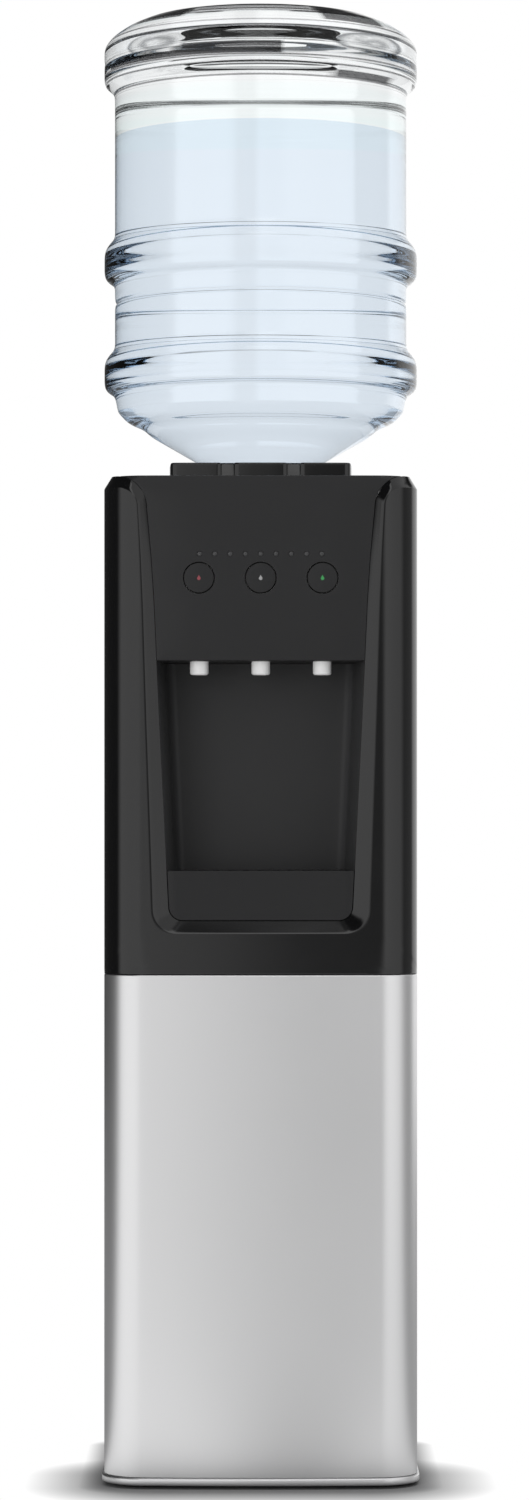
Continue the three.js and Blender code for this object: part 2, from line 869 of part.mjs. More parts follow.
// Upper front bezel, a shell with a chamfered top and a lofted bevel round its opening
const frontHub = new THREE.Vector2(0, cornerCentreY);
const envelope = solid(loft([
  planRing(0, seamY, upperBottom),
  planRing(0, seamY, chamferLevel),
  planRing(chamferRun, seamY, cabinetHeight),
], frontHub));
const topInset = chamferRun + mouldedWall;
const cavity = loft([
  planRing(mouldedWall, shellBack, upperBottom + mouldedWall),
  planRing(mouldedWall, shellBack, chamferLevel),
  planRing(topInset, shellBack, cabinetHeight),
  planRing(topInset, shellBack, cabinetHeight + cutOverrun),
], frontHub);
const mouthTop = upperBottom + mouldedWall + cutOverrun;
const upperMouth = prism(plan(bandInset, shellBack), upperBottom - cutOverrun, mouthTop);
const bevelSkin = solid(openingLoft(
  { edge: innerEdge, grow: mouldedWall, reach: openingFlangeReach },
  { edge: innerEdge, grow: mouldedWall, reach: panelReach },
  { edge: outerEdge, grow: mouldedWall, onSkin: true },
  { edge: outerEdge, grow: mouldedWall, reach: frontReach + cutOverrun },
));
const bevelCut = openingLoft(
  { edge: innerEdge, grow: 0, reach: panelRearReach - seatGap },
  { edge: innerEdge, grow: 0, reach: panelReach },
  { edge: outerEdge, grow: 0, onSkin: true },
  { edge: outerEdge, grow: 0, reach: frontReach + cutOverrun },
);
const bezelShell = cut(envelope, cavity, upperMouth);
const bezelBody = bezelShell.add(bevelSkin.intersect(envelope));
piece("upper_front_bezel", shapeOf(cut(bezelBody, bevelCut)), blackShell);

// Control panel, a hollow-backed plate behind the bevel with holes and guide sleeves
const outletPlaces = [
  ["hot", -outletX],
  ["ambient", 0],
  ["cold", outletX],
];
const panelGrow = -seatGap;
const panelBlank = solid(openingLoft(
  { edge: innerEdge, grow: panelGrow, reach: panelRearReach },
  { edge: innerEdge, grow: panelGrow, reach: panelReach },
)).intersect(solid(slab(hoodHeight, cabinetHeight))).intersect(envelope);
const panelEars = solid(openingLoft(
  { edge: innerEdge, grow: panelFlange, reach: panelRearReach },
  { edge: innerEdge, grow: panelFlange, reach: panelFlangeReach },
)).intersect(solid(slab(hoodHeight, panelFlangeTop)));
const panelPocket = solid(openingLoft(
  { edge: innerEdge, grow: panelGrow - panelWall, reach: panelRearReach - cutOverrun },
  { edge: innerEdge, grow: panelGrow - panelWall, reach: panelFaceRear },
)).intersect(solid(slab(hoodHeight + panelWall, cabinetHeight - panelWall)));
const sleeveRadius = buttonRadius + buttonRing;
const sleeves = outletPlaces.map(([, x]) => {
  const sleeveFront = panelFaceRear + seatGap;
  const sleeve = tube(sleeveRadius, sleeveRadius + sleeveWall, sleeveReach, sleeveFront, buttonFacets);
  return stand(sleeve.translate(x, buttonHeight, 0));
});
const buttonHoles = outletPlaces.map(([, x]) => {
  const hole = rod(sleeveRadius, sleeveReach - cutOverrun, panelReach + cutOverrun, buttonFacets);
  return stand(hole.translate(x, buttonHeight, 0));
});
const windowPlaces = [...Array(windowCount).keys()].map((spot) => {
  return (spot - (windowCount - 1) / 2) * windowPitch;
});
const windowHoles = windowPlaces.map((x) => {
  const hole = rod(windowRadius + seatGap, panelRearReach, panelReach + cutOverrun, windowFacets);
  return stand(hole.translate(x, windowHeight, 0));
});
const boardReach = panelFaceRear - boardStandoff;
const postX = boardHalfWidth - boardPostRadius * 2;
const postHigh = boardTop - boardPostRadius * 2;
const posts = [-1, 1].map((side) => {
  const post = rod(boardPostRadius, boardReach + seatGap, panelFaceRear + seatGap);
  return stand(post.translate(side * postX, postHigh, 0));
});
const panelPlate = panelBlank.add(panelEars).subtract(panelPocket);
const panelSolid = cut(panelPlate.add(joined(...sleeves, ...posts)), ...buttonHoles, ...windowHoles);
piece("control_panel", shapeOf(panelSolid), blackPanel);

// Light guide, nine round bosses on a bar behind the panel
const guideReach = panelFaceRear - seatGap;
const guideHalf = ((windowCount - 1) / 2) * windowPitch + guideBarMargin;
const guideBar = stand(block(
  -guideHalf,
  guideHalf,
  windowHeight - guideBarHeight / 2,
  windowHeight + guideBarHeight / 2,
  guideReach - guideBarDepth,
  guideReach,
));
const guideBosses = windowPlaces.map((x) => {
  const boss = rod(windowRadius, guideReach - guideBarDepth / 2, panelReach - windowSet, windowFacets);
  return stand(boss.translate(x, windowHeight, 0));
});
piece("light_guide", shapeOf(joined(guideBar, ...guideBosses)), windowGrey);

// Control board behind the light guide, with two relays
const boardRear = boardReach - boardThickness;
const boardPlate = block(-boardHalfWidth, boardHalfWidth, -boardReach, -boardRear, boardBottom, boardTop);
const boardMiddle = (windowHeight + boardTop) / 2;
const relays = [-1, 1].map((side) => {
  const x = side * outletX / 2;
  const low = boardMiddle - relayWidth / 2;
  const rear = relayDepth - boardRear;
  return block(x - relayWidth / 2, x + relayWidth / 2, -boardRear - seatGap, rear, low, low + relayWidth);
});
piece("control_board", shapeOf(joined(boardPlate, ...relays)), boardGreen);

// Alcove liner, a tapered open box with a flange behind the bevel
const linerFlangeReach = panelFlangeReach;
const linerRear = alcoveBackReach;
const linerSpace = slideGap;
const linerOuter = solid(openingLoft(
  { edge: innerEdge, grow: linerSpace + linerWall, reach: linerRear - linerWall, narrow: alcoveTaperShare },
  { edge: innerEdge, grow: linerSpace + linerWall, reach: linerFlangeReach },
)).intersect(solid(slab(0, ceilingTop)));
const linerFlangePlate = openingLoft(
  { edge: innerEdge, grow: linerFlange, reach: linerFlangeReach - linerFlangeWall },
  { edge: innerEdge, grow: linerFlange, reach: linerFlangeReach },
);
const linerInner = solid(openingLoft(
  { edge: innerEdge, grow: linerSpace, reach: linerRear, narrow: alcoveTaperShare },
  { edge: innerEdge, grow: linerSpace, reach: linerFlangeReach + cutOverrun },
)).intersect(solid(slab(0, hoodHeight)));
const hoodSlab = solid(slab(hoodHeight - seatGap, cabinetHeight));
const linerTopCut = solid(frontOf(panelRearReach - seatGap)).intersect(hoodSlab);
const nozzleHoles = outletPlaces.map(([, x]) => {
  const hole = rod(nozzleRadius + seatGap, hoodHeight - cutOverrun, ceilingTop + cutOverrun, nozzleFacets);
  return hole.translate(x, outletY, 0);
});
const linerBlank = linerOuter.add(solid(linerFlangePlate)).subtract(linerInner).subtract(linerTopCut);
const linerBelow = linerBlank.intersect(solid(slab(0, ceilingTop)));
piece("alcove_liner", shapeOf(cut(linerBelow, ...nozzleHoles)), alcoveBlack);

// Drip tray, tapered like its pocket, with a basin and a ledge for the grille
const trayRear = panelReach - trayDepth;
const trayNarrow = 1 - (1 - alcoveTaperShare) * (trayDepth / alcoveDepth);
const trayShell = solid(openingLoft(
  { edge: innerEdge, grow: -slideGap, reach: trayRear, narrow: trayNarrow },
  { edge: innerEdge, grow: -slideGap, reach: panelReach },
)).intersect(solid(slab(0, trayTop)));
const grilleTop = trayTop - grilleSet;
const grilleBottom = grilleTop - grilleThickness;
const ledgeLevel = grilleBottom - seatGap;
const basinGrow = -slideGap - trayWall;
const recessGrow = basinGrow + trayLedge;
const basin = solid(openingLoft(
  { edge: innerEdge, grow: basinGrow, reach: trayRear + trayWall, narrow: trayNarrow },
  { edge: innerEdge, grow: basinGrow, reach: panelReach - trayFascia - trayLedge },
)).intersect(solid(slab(0, trayTop + cutOverrun)));
const recess = solid(openingLoft(
  { edge: innerEdge, grow: recessGrow, reach: trayRear + trayWall - trayLedge, narrow: trayNarrow },
  { edge: innerEdge, grow: recessGrow, reach: panelReach - trayFascia },
)).intersect(solid(slab(ledgeLevel, trayTop + cutOverrun)));
piece("drip_tray", shapeOf(trayShell.subtract(basin).subtract(recess)), blackShell);

const grilleGrow = recessGrow - slideGap;
const grilleRear = trayRear + trayWall - trayLedge + slideGap;
const grilleBlank = solid(openingLoft(
  { edge: innerEdge, grow: grilleGrow, reach: grilleRear, narrow: trayNarrow },
  { edge: innerEdge, grow: grilleGrow, reach: panelReach - trayFascia - slideGap },
)).intersect(solid(slab(grilleBottom, grilleTop)));
const grilleMiddle = (trayRear + panelReach - trayFascia) / 2;
const grilleHalf = (innerEdge.foot + grilleGrow) * trayNarrow;
const grilleSideSlots = Math.floor((grilleHalf - grilleSlotMargin - grilleSlotWidth / 2) / grilleSlotPitch);
const grilleSlots = [];
for (let spot = -grilleSideSlots; spot <= grilleSideSlots; spot += 1) {
  const x = spot * grilleSlotPitch;
  const low = grilleBottom - cutOverrun;
  const high = grilleTop + cutOverrun;
  for (const side of [-1, 1]) {
    const near = (side * grilleRib) / 2 - grilleMiddle;
    const far = near + side * grilleSlotLength;
    const edges = [Math.min(near, far), Math.max(near, far)];
    grilleSlots.push(block(x - grilleSlotWidth / 2, x + grilleSlotWidth / 2, ...edges, low, high));
  }
}
piece("drip_grille", shapeOf(cut(grilleBlank, ...grilleSlots)), blackPanel);

// Nozzles, each hung by its flange on the alcove ceiling
const nozzleTop = ceilingTop + seatGap;
const nozzleBottom = hoodHeight - nozzleDrop;
const nozzleProfile = [
  [nozzleBore, nozzleBottom],
  [nozzleRadius - nozzleLead, nozzleBottom],
  [nozzleRadius, nozzleBottom + nozzleLead],
  [nozzleRadius, nozzleTop],
  [nozzleFlange, nozzleTop],
  [nozzleFlange, nozzleTop + nozzleFlangeWall],
  [nozzleBore, nozzleTop + nozzleFlangeWall],
  [nozzleBore, nozzleBottom],
];

// Valves behind the buttons, each with a stem bore, an outlet tube and a rear barb
const valveBody = stand(revolve([
  [0, barbReach],
  [valveBarbRadius, barbReach],
  [valveBarbRadius, valveRear],
  [valveRadius, valveRear],
  [valveRadius, valveReach - valveFlangeWall],
  [valveFlangeRadius, valveReach - valveFlangeWall],
  [valveFlangeRadius, valveReach],
  [0, valveReach],
], bodyFacets)).translate(0, -outletY, 0);
const valveTubeLow = nozzleBottom + valveTubeEnd - buttonHeight;
const valveTube = rod(valveTubeRadius, valveTubeLow, 0);
const valveBore = rod(valveTubeBore, valveTubeLow - cutOverrun, -valveTubeBore * 2);
const stemHole = stemRadius + stemClearance;
const stemBore = stand(rod(stemHole, valveReach - stemBoreDepth, valveReach + cutOverrun));
const valveSolid = joined(valveBody, valveTube);
const valveShape = shapeOf(cut(valveSolid, valveBore, stemBore.translate(0, -outletY, 0)));

// Buttons with a skirt and a stem, and their return springs
const buttonRear = panelReach - buttonFace;
const buttonProfile = [
  [0, buttonRear - stemLength],
  [stemRadius, buttonRear - stemLength],
  [stemRadius, buttonRear],
  [buttonRadius - buttonWall, buttonRear],
  [buttonRadius - buttonWall, buttonRear - buttonSkirt],
  [buttonRadius, buttonRear - buttonSkirt],
  [buttonRadius, panelReach - buttonRing],
  [buttonRadius - buttonRing, panelReach],
  [0, panelReach],
];

class Helix extends THREE.Curve {
  constructor(radius, length, turns) {
    super();
    this.radius = radius;
    this.length = length;
    this.turns = turns;
  }

  getPoint(share, target = new THREE.Vector3()) {
    const angle = share * this.turns * Math.PI * 2;
    const height = share * this.length;
    return target.set(this.radius * Math.cos(angle), this.radius * Math.sin(angle), height);
  }
}
const springLow = valveReach + seatGap + springWire;
const springLength = buttonRear - seatGap - springWire - springLow;
const springPath = new Helix(springRadius, springLength, springTurns);
const springSection = new THREE.Shape(circle(springWire, 0, 0, springSides));
const springSteps = springTurns * springTurnSteps;
const springShape = stand(new THREE.ExtrudeGeometry(springSection, {
  steps: springSteps,
  extrudePath: springPath,
  bevelEnabled: false,
}).translate(0, 0, springLow));

for (const [name, x] of outletPlaces) {
  const group = new THREE.Group();
  group.position.x = x;
  dispenser.add(group);
  piece(`${name}_nozzle`, revolve(nozzleProfile, nozzleFacets), whitePlastic, group).position.y = outletY;
  piece(`${name}_valve`, valveShape, whitePlastic, group).position.set(0, outletY, buttonHeight);
  const button = piece(`${name}_button`, stand(revolve(buttonProfile, buttonFacets)), blackPanel, group);
  button.position.z = buttonHeight;
  piece(`${name}_button_spring`, springShape, sheetSteel, group).position.z = buttonHeight;
}

// Top cover, a shallow lid between the bezel, the side panels and the rear returns
const coverInset = chamferRun + mouldedWall + seatGap;
const coverBack = rearReach - coverRearGap;
const coverFront = panelRearReach - seatGap;
const coverWell = wellRadius + wellWall + wellHoleGap;
const coverPlate = solid(prism(plan(coverInset, coverBack), coverLow, cabinetHeight));
const coverHollow = solid(prism(
  plan(coverInset + coverRimWall, coverBack - coverRimWall),
  coverLow - cutOverrun,
  cabinetHeight - coverThickness,
)).subtract(solid(frontOf(coverFront - coverRimWall)));
const coverPlateLow = cabinetHeight - coverThickness;
const coverHole = rod(coverWell, coverPlateLow - cutOverrun, cabinetHeight + cutOverrun, bottleFacets);
const coverSolid = coverPlate.subtract(coverHollow).subtract(solid(frontOf(coverFront)));
piece("top_cover", shapeOf(cut(coverSolid, coverHole)), blackShell);

// Bottle wall in profile, from the mouth up to the middle of the upturned base
function ringProfile(base, fine) {
  const points = ringRiseShares.map((share, spot) => {
    return [bodyRadius + ringSwell * ringSwellShares[spot], base + ringHeight * share];
  });
  return fine ? points : points.filter((_, spot) => ringSwellShares[spot] % 1 === 0);
}
const bottleRadius = bodyRadius + ringSwell;
const bottleTop = rimBase + rimHeight;
const shoulder = shoulderStepShares.map((share, spot) => {
  const radius = coneRadius + (shoulderRadius - coneRadius) * share;
  return [radius, coneTop + (shoulderTop - coneTop) * shoulderRiseShares[spot]];
});
const rimProfile = rimRiseShares.map((share, spot) => {
  return [bottleRadius * rimRadiusShares[spot], rimBase + rimHeight * share];
});

function bottleSide(fine) {
  return [
    [neckRadius, bottleMouthHeight],
    [neckRadius, neckTop],
    [coneRadius, coneTop],
    ...shoulder,
    [shoulderRadius, shoulderTop],
    ...ringProfile(lowerRingBase, fine),
    ...ringProfile(upperRingBase, fine),
    ...rimProfile.filter((_, spot) => fine || spot % 2 === 0),
    [puntRadius, bottleTop],
    [puntRadius / 2, bottleTop - puntDepth],
    [0, bottleTop - puntDepth],
  ];
}

// Moves a profile sideways, to its left as it runs, by a distance
function offsetProfile(profile, distance) {
  const normals = profile.slice(1).map(([radius, height], spot) => {
    const step = new THREE.Vector2(radius - profile[spot][0], height - profile[spot][1]).normalize();
    return new THREE.Vector2(-step.y, step.x);
  });
  return profile.map(([radius, height], spot) => {
    const before = normals[Math.max(0, spot - 1)];
    const after = normals[Math.min(normals.length - 1, spot)];
    const middle = before.clone().add(after).normalize();
    const reach = distance / middle.dot(after);
    return [Math.max(0, radius + middle.x * reach), height + middle.y * reach];
  });
}
const bottleOuter = bottleSide(true);
const bottleInner = offsetProfile(bottleSide(false), bottleWall);
bottleInner[bottleInner.length - 1][0] = 0;
bottleInner[0][0] = neckRadius - neckWall;
bottleInner[1][0] = neckRadius - neckWall;
const bottleProfile = [...bottleOuter, ...bottleInner.reverse(), bottleOuter[0]];
piece("bottle", revolve(bottleProfile, bottleFacets), bottleClear);

// Water inside the bottle, clear of its wall, up to its level
const waterSide = offsetProfile(bottleSide(false), bottleWall + waterGap);
waterSide[0][0] = neckRadius - neckWall - waterGap;
waterSide[1][0] = neckRadius - neckWall - waterGap;
const waterBottom = probeTop + capHeight / 4;
const waterProfile = [
  [0, waterBottom],
  [waterSide[0][0], waterBottom],
  ...waterSide.slice(1).filter(([, height]) => height > waterBottom && height < rimBase - waterGap),
];
const waterEdge = bodyRadius - bottleWall - waterGap;
const waterSolid = [...waterProfile, [waterEdge, waterLevel], [0, waterLevel]];
piece("water", revolve(waterSolid, bottleFacets), waterClear);

// Cap on the bottle's neck, bored for the feed probe
const capInner = neckRadius + seatGap;
const capLow = bottleMouthHeight - capTopWall - seatGap;
piece("bottle_cap", revolve([
  [capBore, capLow],
  [capRadius, capLow],
  [capRadius, capLow + capHeight],
  [capInner, capLow + capHeight],
  [capInner, bottleMouthHeight - seatGap],
  [capBore, bottleMouthHeight - seatGap],
  [capBore, capLow],
], bottleFacets), capBlue);

// Bottle seat: a square castellated collar, a funnel to the bottle's cone and a well below it
const notchEnds = [-1, 1].map((side) => {
  const middle = (side * (collarBlock + collarNotchWidth)) / 2;
  return [middle - collarNotchWidth / 2, middle + collarNotchWidth / 2];
});
const collarHalf = collarSide / 2;
const collarEdge = [[collarCorner - collarHalf, -collarHalf]];
for (const [start, end] of notchEnds) {
  collarEdge.push([start, -collarHalf]);
  collarEdge.push([start, collarNotchDepth - collarHalf]);
  collarEdge.push([end, collarNotchDepth - collarHalf]);
  collarEdge.push([end, -collarHalf]);
}
collarEdge.push([collarHalf - collarCorner, -collarHalf]);
const collarOutline = [0, 1, 2, 3].flatMap((quarter) => {
  const corner = new THREE.Vector2();
  return collarEdge.map(([x, y]) => {
    return new THREE.Vector2(x, y).rotateAround(corner, (quarter * Math.PI) / 2);
  });
});
const coneSlope = (coneTop - neckTop) / (coneRadius - neckRadius);
const coneLean = Math.atan(coneSlope);
const seatShift = seatGap / Math.cos(coneLean);
const seatLevel = (radius) => neckTop + (radius - neckRadius) * coneSlope - seatShift;
const wideRadius = collarHalf + cutOverrun;
const seatCut = revolve([
  [0, wellFloorTop],
  [wellRadius, wellFloorTop],
  [wellRadius, seatLevel(wellRadius)],
  [wideRadius, seatLevel(wideRadius)],
  [wideRadius, seatLevel(wideRadius) + cutOverrun],
  [0, seatLevel(wideRadius) + cutOverrun],
], bottleFacets);
const collarBlank = joined(
  prism(collarOutline, collarBottom, collarTop),
  rod(wellRadius + wellWall, wellFloorTop - wellFloor, collarBottom + seatGap, bottleFacets),
);
const hollowHalf = collarHalf - collarNotchDepth - collarWall;
const collarHollow = solid(block(
  -hollowHalf,
  hollowHalf,
  -hollowHalf,
  hollowHalf,
  collarBottom - cutOverrun,
  collarTop - collarDeck,
)).subtract(solid(rod(funnelOuter, wellFloorTop, collarTop, bottleFacets)));
const wellDrain = rod(wellDrainRadius, wellFloorTop - wellFloor - cutOverrun, wellFloorTop + cutOverrun);
const seatSolid = collarBlank.subtract(collarHollow);
piece("bottle_seat", shapeOf(cut(seatSolid, seatCut, wellDrain)), blackShell);

// Feed probe standing on the well's floor, with cross ports under its crown
const probeLow = wellFloorTop + seatGap;
const probeBody = solid(revolve([
  [0, probeLow],
  [probeFlangeRadius, probeLow],
  [probeFlangeRadius, probeLow + probeFlangeWall],
  [probeRadius, probeLow + probeFlangeWall],
  [probeRadius, probeTop - probeCrown],
  [probeRadius / 2, probeTop],
  [0, probeTop],
], smallFacets));
const probeHollow = rod(probeBore, probeLow - cutOverrun, probeTop - probeCrown - probePortSize / 2);
const portHigh = probeTop - probeCrown - probePortSize;
const ports = [0, Math.PI / 2].map((turn) => {
  const half = probePortSize / 2;
  const portLow = portHigh - probePortSize;
  const port = block(-probeFlangeRadius, probeFlangeRadius, -half, half, portLow, portHigh);
  return port.rotateZ(turn);
});
piece("feed_probe", shapeOf(cut(probeBody, probeHollow, ...ports)), whitePlastic);

// Cold tank round the well, in a foam jacket that stands on the shelf and the alcove ceiling
const coldTankInner = coldTankRadius - coldTankWall;
const wellHole = rod(coverWell, coldTankTop - coldTankWall * 2, coldTankTop + cutOverrun, bottleFacets);
const coldTankShell = solid(rod(coldTankRadius, coldTankBottom, coldTankTop, tankFacets));
const tankHollowLow = coldTankBottom + coldTankWall;
const coldTankHollow = rod(coldTankInner, tankHollowLow, coldTankTop - coldTankWall, tankFacets);
const coldTankSolid = cut(coldTankShell, coldTankHollow, wellHole.translate(0, -coldTankSetback, 0));
piece("cold_tank", shapeOf(coldTankSolid), tankSteel).position.y = coldTankSetback;

const jacketLow = ceilingTop + seatGap;
const jacketFloor = coldTankBottom - seatGap;
const hoseHole = hoseRadius + hoseHoleGap;
const jacketShell = solid(revolve([
  [0, jacketLow],
  [jacketRadius, jacketLow],
  [jacketRadius, jacketTop],
  [coldTankRadius + seatGap, jacketTop],
  [coldTankRadius + seatGap, jacketFloor],
  [0, jacketFloor],
], tankFacets).translate(0, coldTankSetback, 0));
const jacketFront = (x, height) => {
  const bore = rod(hoseHole, 0, jacketRadius + cutOverrun, pipeSides);
  return stand(bore.translate(x, height, 0)).translate(0, coldTankSetback, 0);
};
const feedBore = rod(hoseHole, jacketLow - cutOverrun, jacketFloor + cutOverrun, pipeSides);
const jacketSolid = cut(
  jacketShell,
  jacketFront(0, buttonHeight),
  jacketFront(coldPortSide, coldPortHeight),
  feedBore.translate(feedSide, hotTankSetback, 0),
);
piece("cold_tank_jacket", shapeOf(jacketSolid), foamGrey);

// Shelf behind the alcove and deck over the compressor, both with holes for what passes
const shelfSide = halfWidth - deckInset;
const shelfFront = linerWall + seatGap - alcoveBackReach;
const shelfBack = backY - seatGap;
const shelfOutline = [
  [-shelfSide, shelfFront],
  [shelfSide, shelfFront],
  [shelfSide, shelfBack],
  [-shelfSide, shelfBack],
].map(([x, y]) => new THREE.Vector2(x, y));
const suctionHole = circle(refrigerantRadius + hoseHoleGap, -suctionSide, suctionBack);
const capillaryHole = circle(capillaryRadius + hoseHoleGap, -capillarySide, capillaryBack);
const feedHole = circle(hoseHole, feedSide, hotTankSetback);
const shelfHoles = [suctionHole, capillaryHole, feedHole];
piece("tank_shelf", prism(shelfOutline, hoodHeight, ceilingTop, shelfHoles), sheetSteel);

const deckLow = deckTop - linerWall;
const deckPlate = prism(plan(deckInset, backY - seatGap), deckLow, deckTop, [suctionHole, capillaryHole]);
const deckRing = prism(
  plan(deckInset, backY - seatGap),
  deckLow - deckRim,
  deckLow + seatGap,
  [plan(deckInset + linerWall, backY - seatGap - linerWall)],
);
piece("mid_deck", shapeOf(joined(deckPlate, deckRing)), sheetSteel);

// Back panel, a plate with side flanges folded rearwards, drilled for the parts at the back
const backSide = halfWidth - sheetWall - seatGap;
const backTop = coverLow - seatGap;
const backOutline = [
  [-backSide, backY],
  [backSide, backY],
  [backSide, backY + backFlange],
  [backSide - sheetWall, backY + backFlange],
  [backSide - sheetWall, backY + sheetWall],
  [sheetWall - backSide, backY + sheetWall],
  [sheetWall - backSide, backY + backFlange],
  [-backSide, backY + backFlange],
].map(([x, y]) => new THREE.Vector2(x, y));
const drainHole = stand(rod(drainRadius + seatGap, -backY - sheetWall - cutOverrun, cutOverrun - backY));
const glandHole = stand(rod(glandBody + seatGap, -backY - sheetWall - cutOverrun, cutOverrun - backY));
const switchHalf = switchWidth / 2;
const switchHoles = [-1, 1].map((side) => {
  const x = side * switchSpacing;
  const half = switchHalf + seatGap;
  const tall = switchBodyHeight / 2 + seatGap;
  const near = backY - cutOverrun;
  const far = backY + sheetWall + cutOverrun;
  return block(x - half, x + half, near, far, switchHeight - tall, switchHeight + tall);
});
piece("back_panel", shapeOf(cut(
  solid(prism(backOutline, backBottom, backTop)),
  drainHole.translate(drainSide, 0, drainHeight),
  glandHole.translate(-glandSide, 0, glandHeight),
  ...switchHoles,
)), sheetSteel);

// Hot tank on its skirt, with a nipple on its dome and a heater band round it
const domeLevel = hotTankTop - hotTankDomeStart;
const dome = hotTankDomeShares.map((share, spot) => {
  return [hotTankRadius * share, hotTankTop - hotTankDomeDrops[spot]];
});
const skirtLow = deckTop + seatGap;
piece("hot_tank", revolve([
  [0, hotTankBottom],
  [hotTankSkirt - hotTankSkirtWall, hotTankBottom],
  [hotTankSkirt - hotTankSkirtWall, skirtLow],
  [hotTankSkirt, skirtLow],
  [hotTankSkirt, hotTankBottom],
  [hotTankRadius, hotTankBottom + hotTankCorner],
  [hotTankRadius, domeLevel],
  ...dome,
  [hotTankNipple, hotTankTop],
  [hotTankNipple, hotTankTop + hotTankNippleLength],
  [0, hotTankTop + hotTankNippleLength],
], tankFacets), tankSteel).position.y = hotTankSetback;
const heaterInner = hotTankRadius + seatGap;
const heaterOuter = heaterInner + bandWall;
const heaterShape = tube(heaterInner, heaterOuter, bandHeight - bandWidth, bandHeight, tankFacets);
const terminalReach = heaterOuter + terminalSize;
const terminalHigh = bandHeight - bandWidth / 4;
const terminalLow = bandHeight - bandWidth / 2;
const terminalInner = heaterInner + bandWall / 2;
const terminal = block(
  -terminalSize,
  terminalSize,
  terminalInner,
  terminalReach,
  terminalLow,
  terminalHigh,
);
piece("heater_band", shapeOf(joined(heaterShape, terminal)), sheetSteel).position.y = hotTankSetback;

// Hoses from the tanks to the valves, and from the cold tank down to the hot tank
const hoseStart = seatGap - barbReach;
const tankFace = (x) => coldTankSetback - Math.sqrt(coldTankRadius ** 2 - x ** 2) - seatGap;
piece("ambient_hose", pipe([
  [0, hoseStart, buttonHeight],
  [0, tankFace(0), buttonHeight],
], hoseRadius, hoseBend), hoseClear);
piece("cold_hose", pipe([
  [outletX, hoseStart, buttonHeight],
  [outletX, hoseStart + hoseLead, buttonHeight],
  [coldPortSide, hoseStart + hoseLead, coldPortHeight],
  [coldPortSide, tankFace(coldPortSide - hoseRadius), coldPortHeight],
], hoseRadius, hoseLead - seatGap), hoseClear);
piece("hot_hose", pipe([
  [-outletX, hoseStart, buttonHeight],
  [-outletX, -hotHoseBack, buttonHeight],
  [-hotHoseSide, -hotHoseBack, buttonHeight],
  [-hotHoseSide, -hotHoseBack, hotHoseHeight],
  [-hotHoseSide, hotTankSetback, hotHoseHeight],
  [0, hotTankSetback, hotHoseHeight],
  [0, hotTankSetback, hotTankTop + hotTankNippleLength + seatGap],
], hoseRadius, hoseBend), hoseClear);
piece("hot_tank_feed_hose", pipe([
  [feedSide, hotTankSetback, jacketFloor],
  [feedSide, hotTankSetback, hotHoseHeight],
  [feedOutside, hotTankSetback, hotHoseHeight],
  [feedOutside, hotTankSetback, feedPortHeight],
  [hotTankRadius + seatGap, hotTankSetback, feedPortHeight],
], hoseRadius, hoseBend), hoseClear);

// Drain spout from the hot tank out through the back panel, closed by a cap
const drainEndY = backY + sheetWall + drainOut;
piece("drain_spout", pipe([
  [hotTankRadius + seatGap, hotTankSetback, drainHeight],
  [drainSide, hotTankSetback, drainHeight],
  [drainSide, drainEndY, drainHeight],
], drainRadius, drainBend, smallFacets), whitePlastic);
const capOuter = drainRadius + seatGap + drainCapWall;
const capFloor = drainEndY + seatGap;
piece("drain_cap", standBack(revolve([
  [0, capFloor + drainCapWall],
  [capOuter, capFloor + drainCapWall],
  [capOuter, capFloor + drainCapWall - drainCapLength],
  [drainRadius + seatGap, capFloor + drainCapWall - drainCapLength],
  [drainRadius + seatGap, capFloor],
  [0, capFloor],
], smallFacets)), blackRubber).position.set(drainSide, 0, drainHeight);

// Compressor pot with its seam, feet plate, grommets and two stubs
const potLow = railTop + seatGap + compressorFootThickness;
const potTop = potLow + compressorHeight;
const seamLevel = potLow + compressorHeight * compressorSeam;
const seamRadius = compressorRadius + compressorSeamWidth;
const potDome = compressorDomeShares.map((share, spot) => {
  return [compressorRadius * share, potLow + compressorHeight * compressorDomeRiseShares[spot]];
});
const pot = revolve([
  [0, potLow - compressorFootThickness / 2],
  [compressorRadius * compressorDomeShares[1], potLow - compressorFootThickness / 2],
  [compressorRadius, potLow + compressorSeamHeight * 2],
  [compressorRadius, seamLevel],
  [seamRadius, seamLevel],
  [seamRadius, seamLevel + compressorSeamHeight],
  [compressorRadius, seamLevel + compressorSeamHeight],
  potDome[1],
  potDome[0],
  [0, potTop],
], tankFacets);
const plateLow = potLow - compressorFootThickness;
const halfFoot = compressorFootWidth / 2;
const footPlate = block(-compressorHalf, compressorHalf, -halfFoot, halfFoot, plateLow, potLow);
const grommets = [];
for (const side of [-1, 1]) {
  for (const end of [-1, 1]) {
    const x = side * (compressorHalf - grommetRadius);
    const grommet = rod(grommetRadius, potLow - seatGap, potLow + grommetRadius, smallFacets);
    grommets.push(grommet.translate(x, end * (halfFoot - grommetRadius), 0));
  }
}
const stubLow = potTop - compressorHeight / 4;
const stubs = [-1, 1].map((side) => {
  return rod(stubRadius, stubLow, potTop + stubLength).translate(side * stubSpread, 0, 0);
});
piece("compressor", shapeOf(joined(pot, footPlate, ...grommets, ...stubs)), compressorBlack)
  .position.y = compressorSetback;

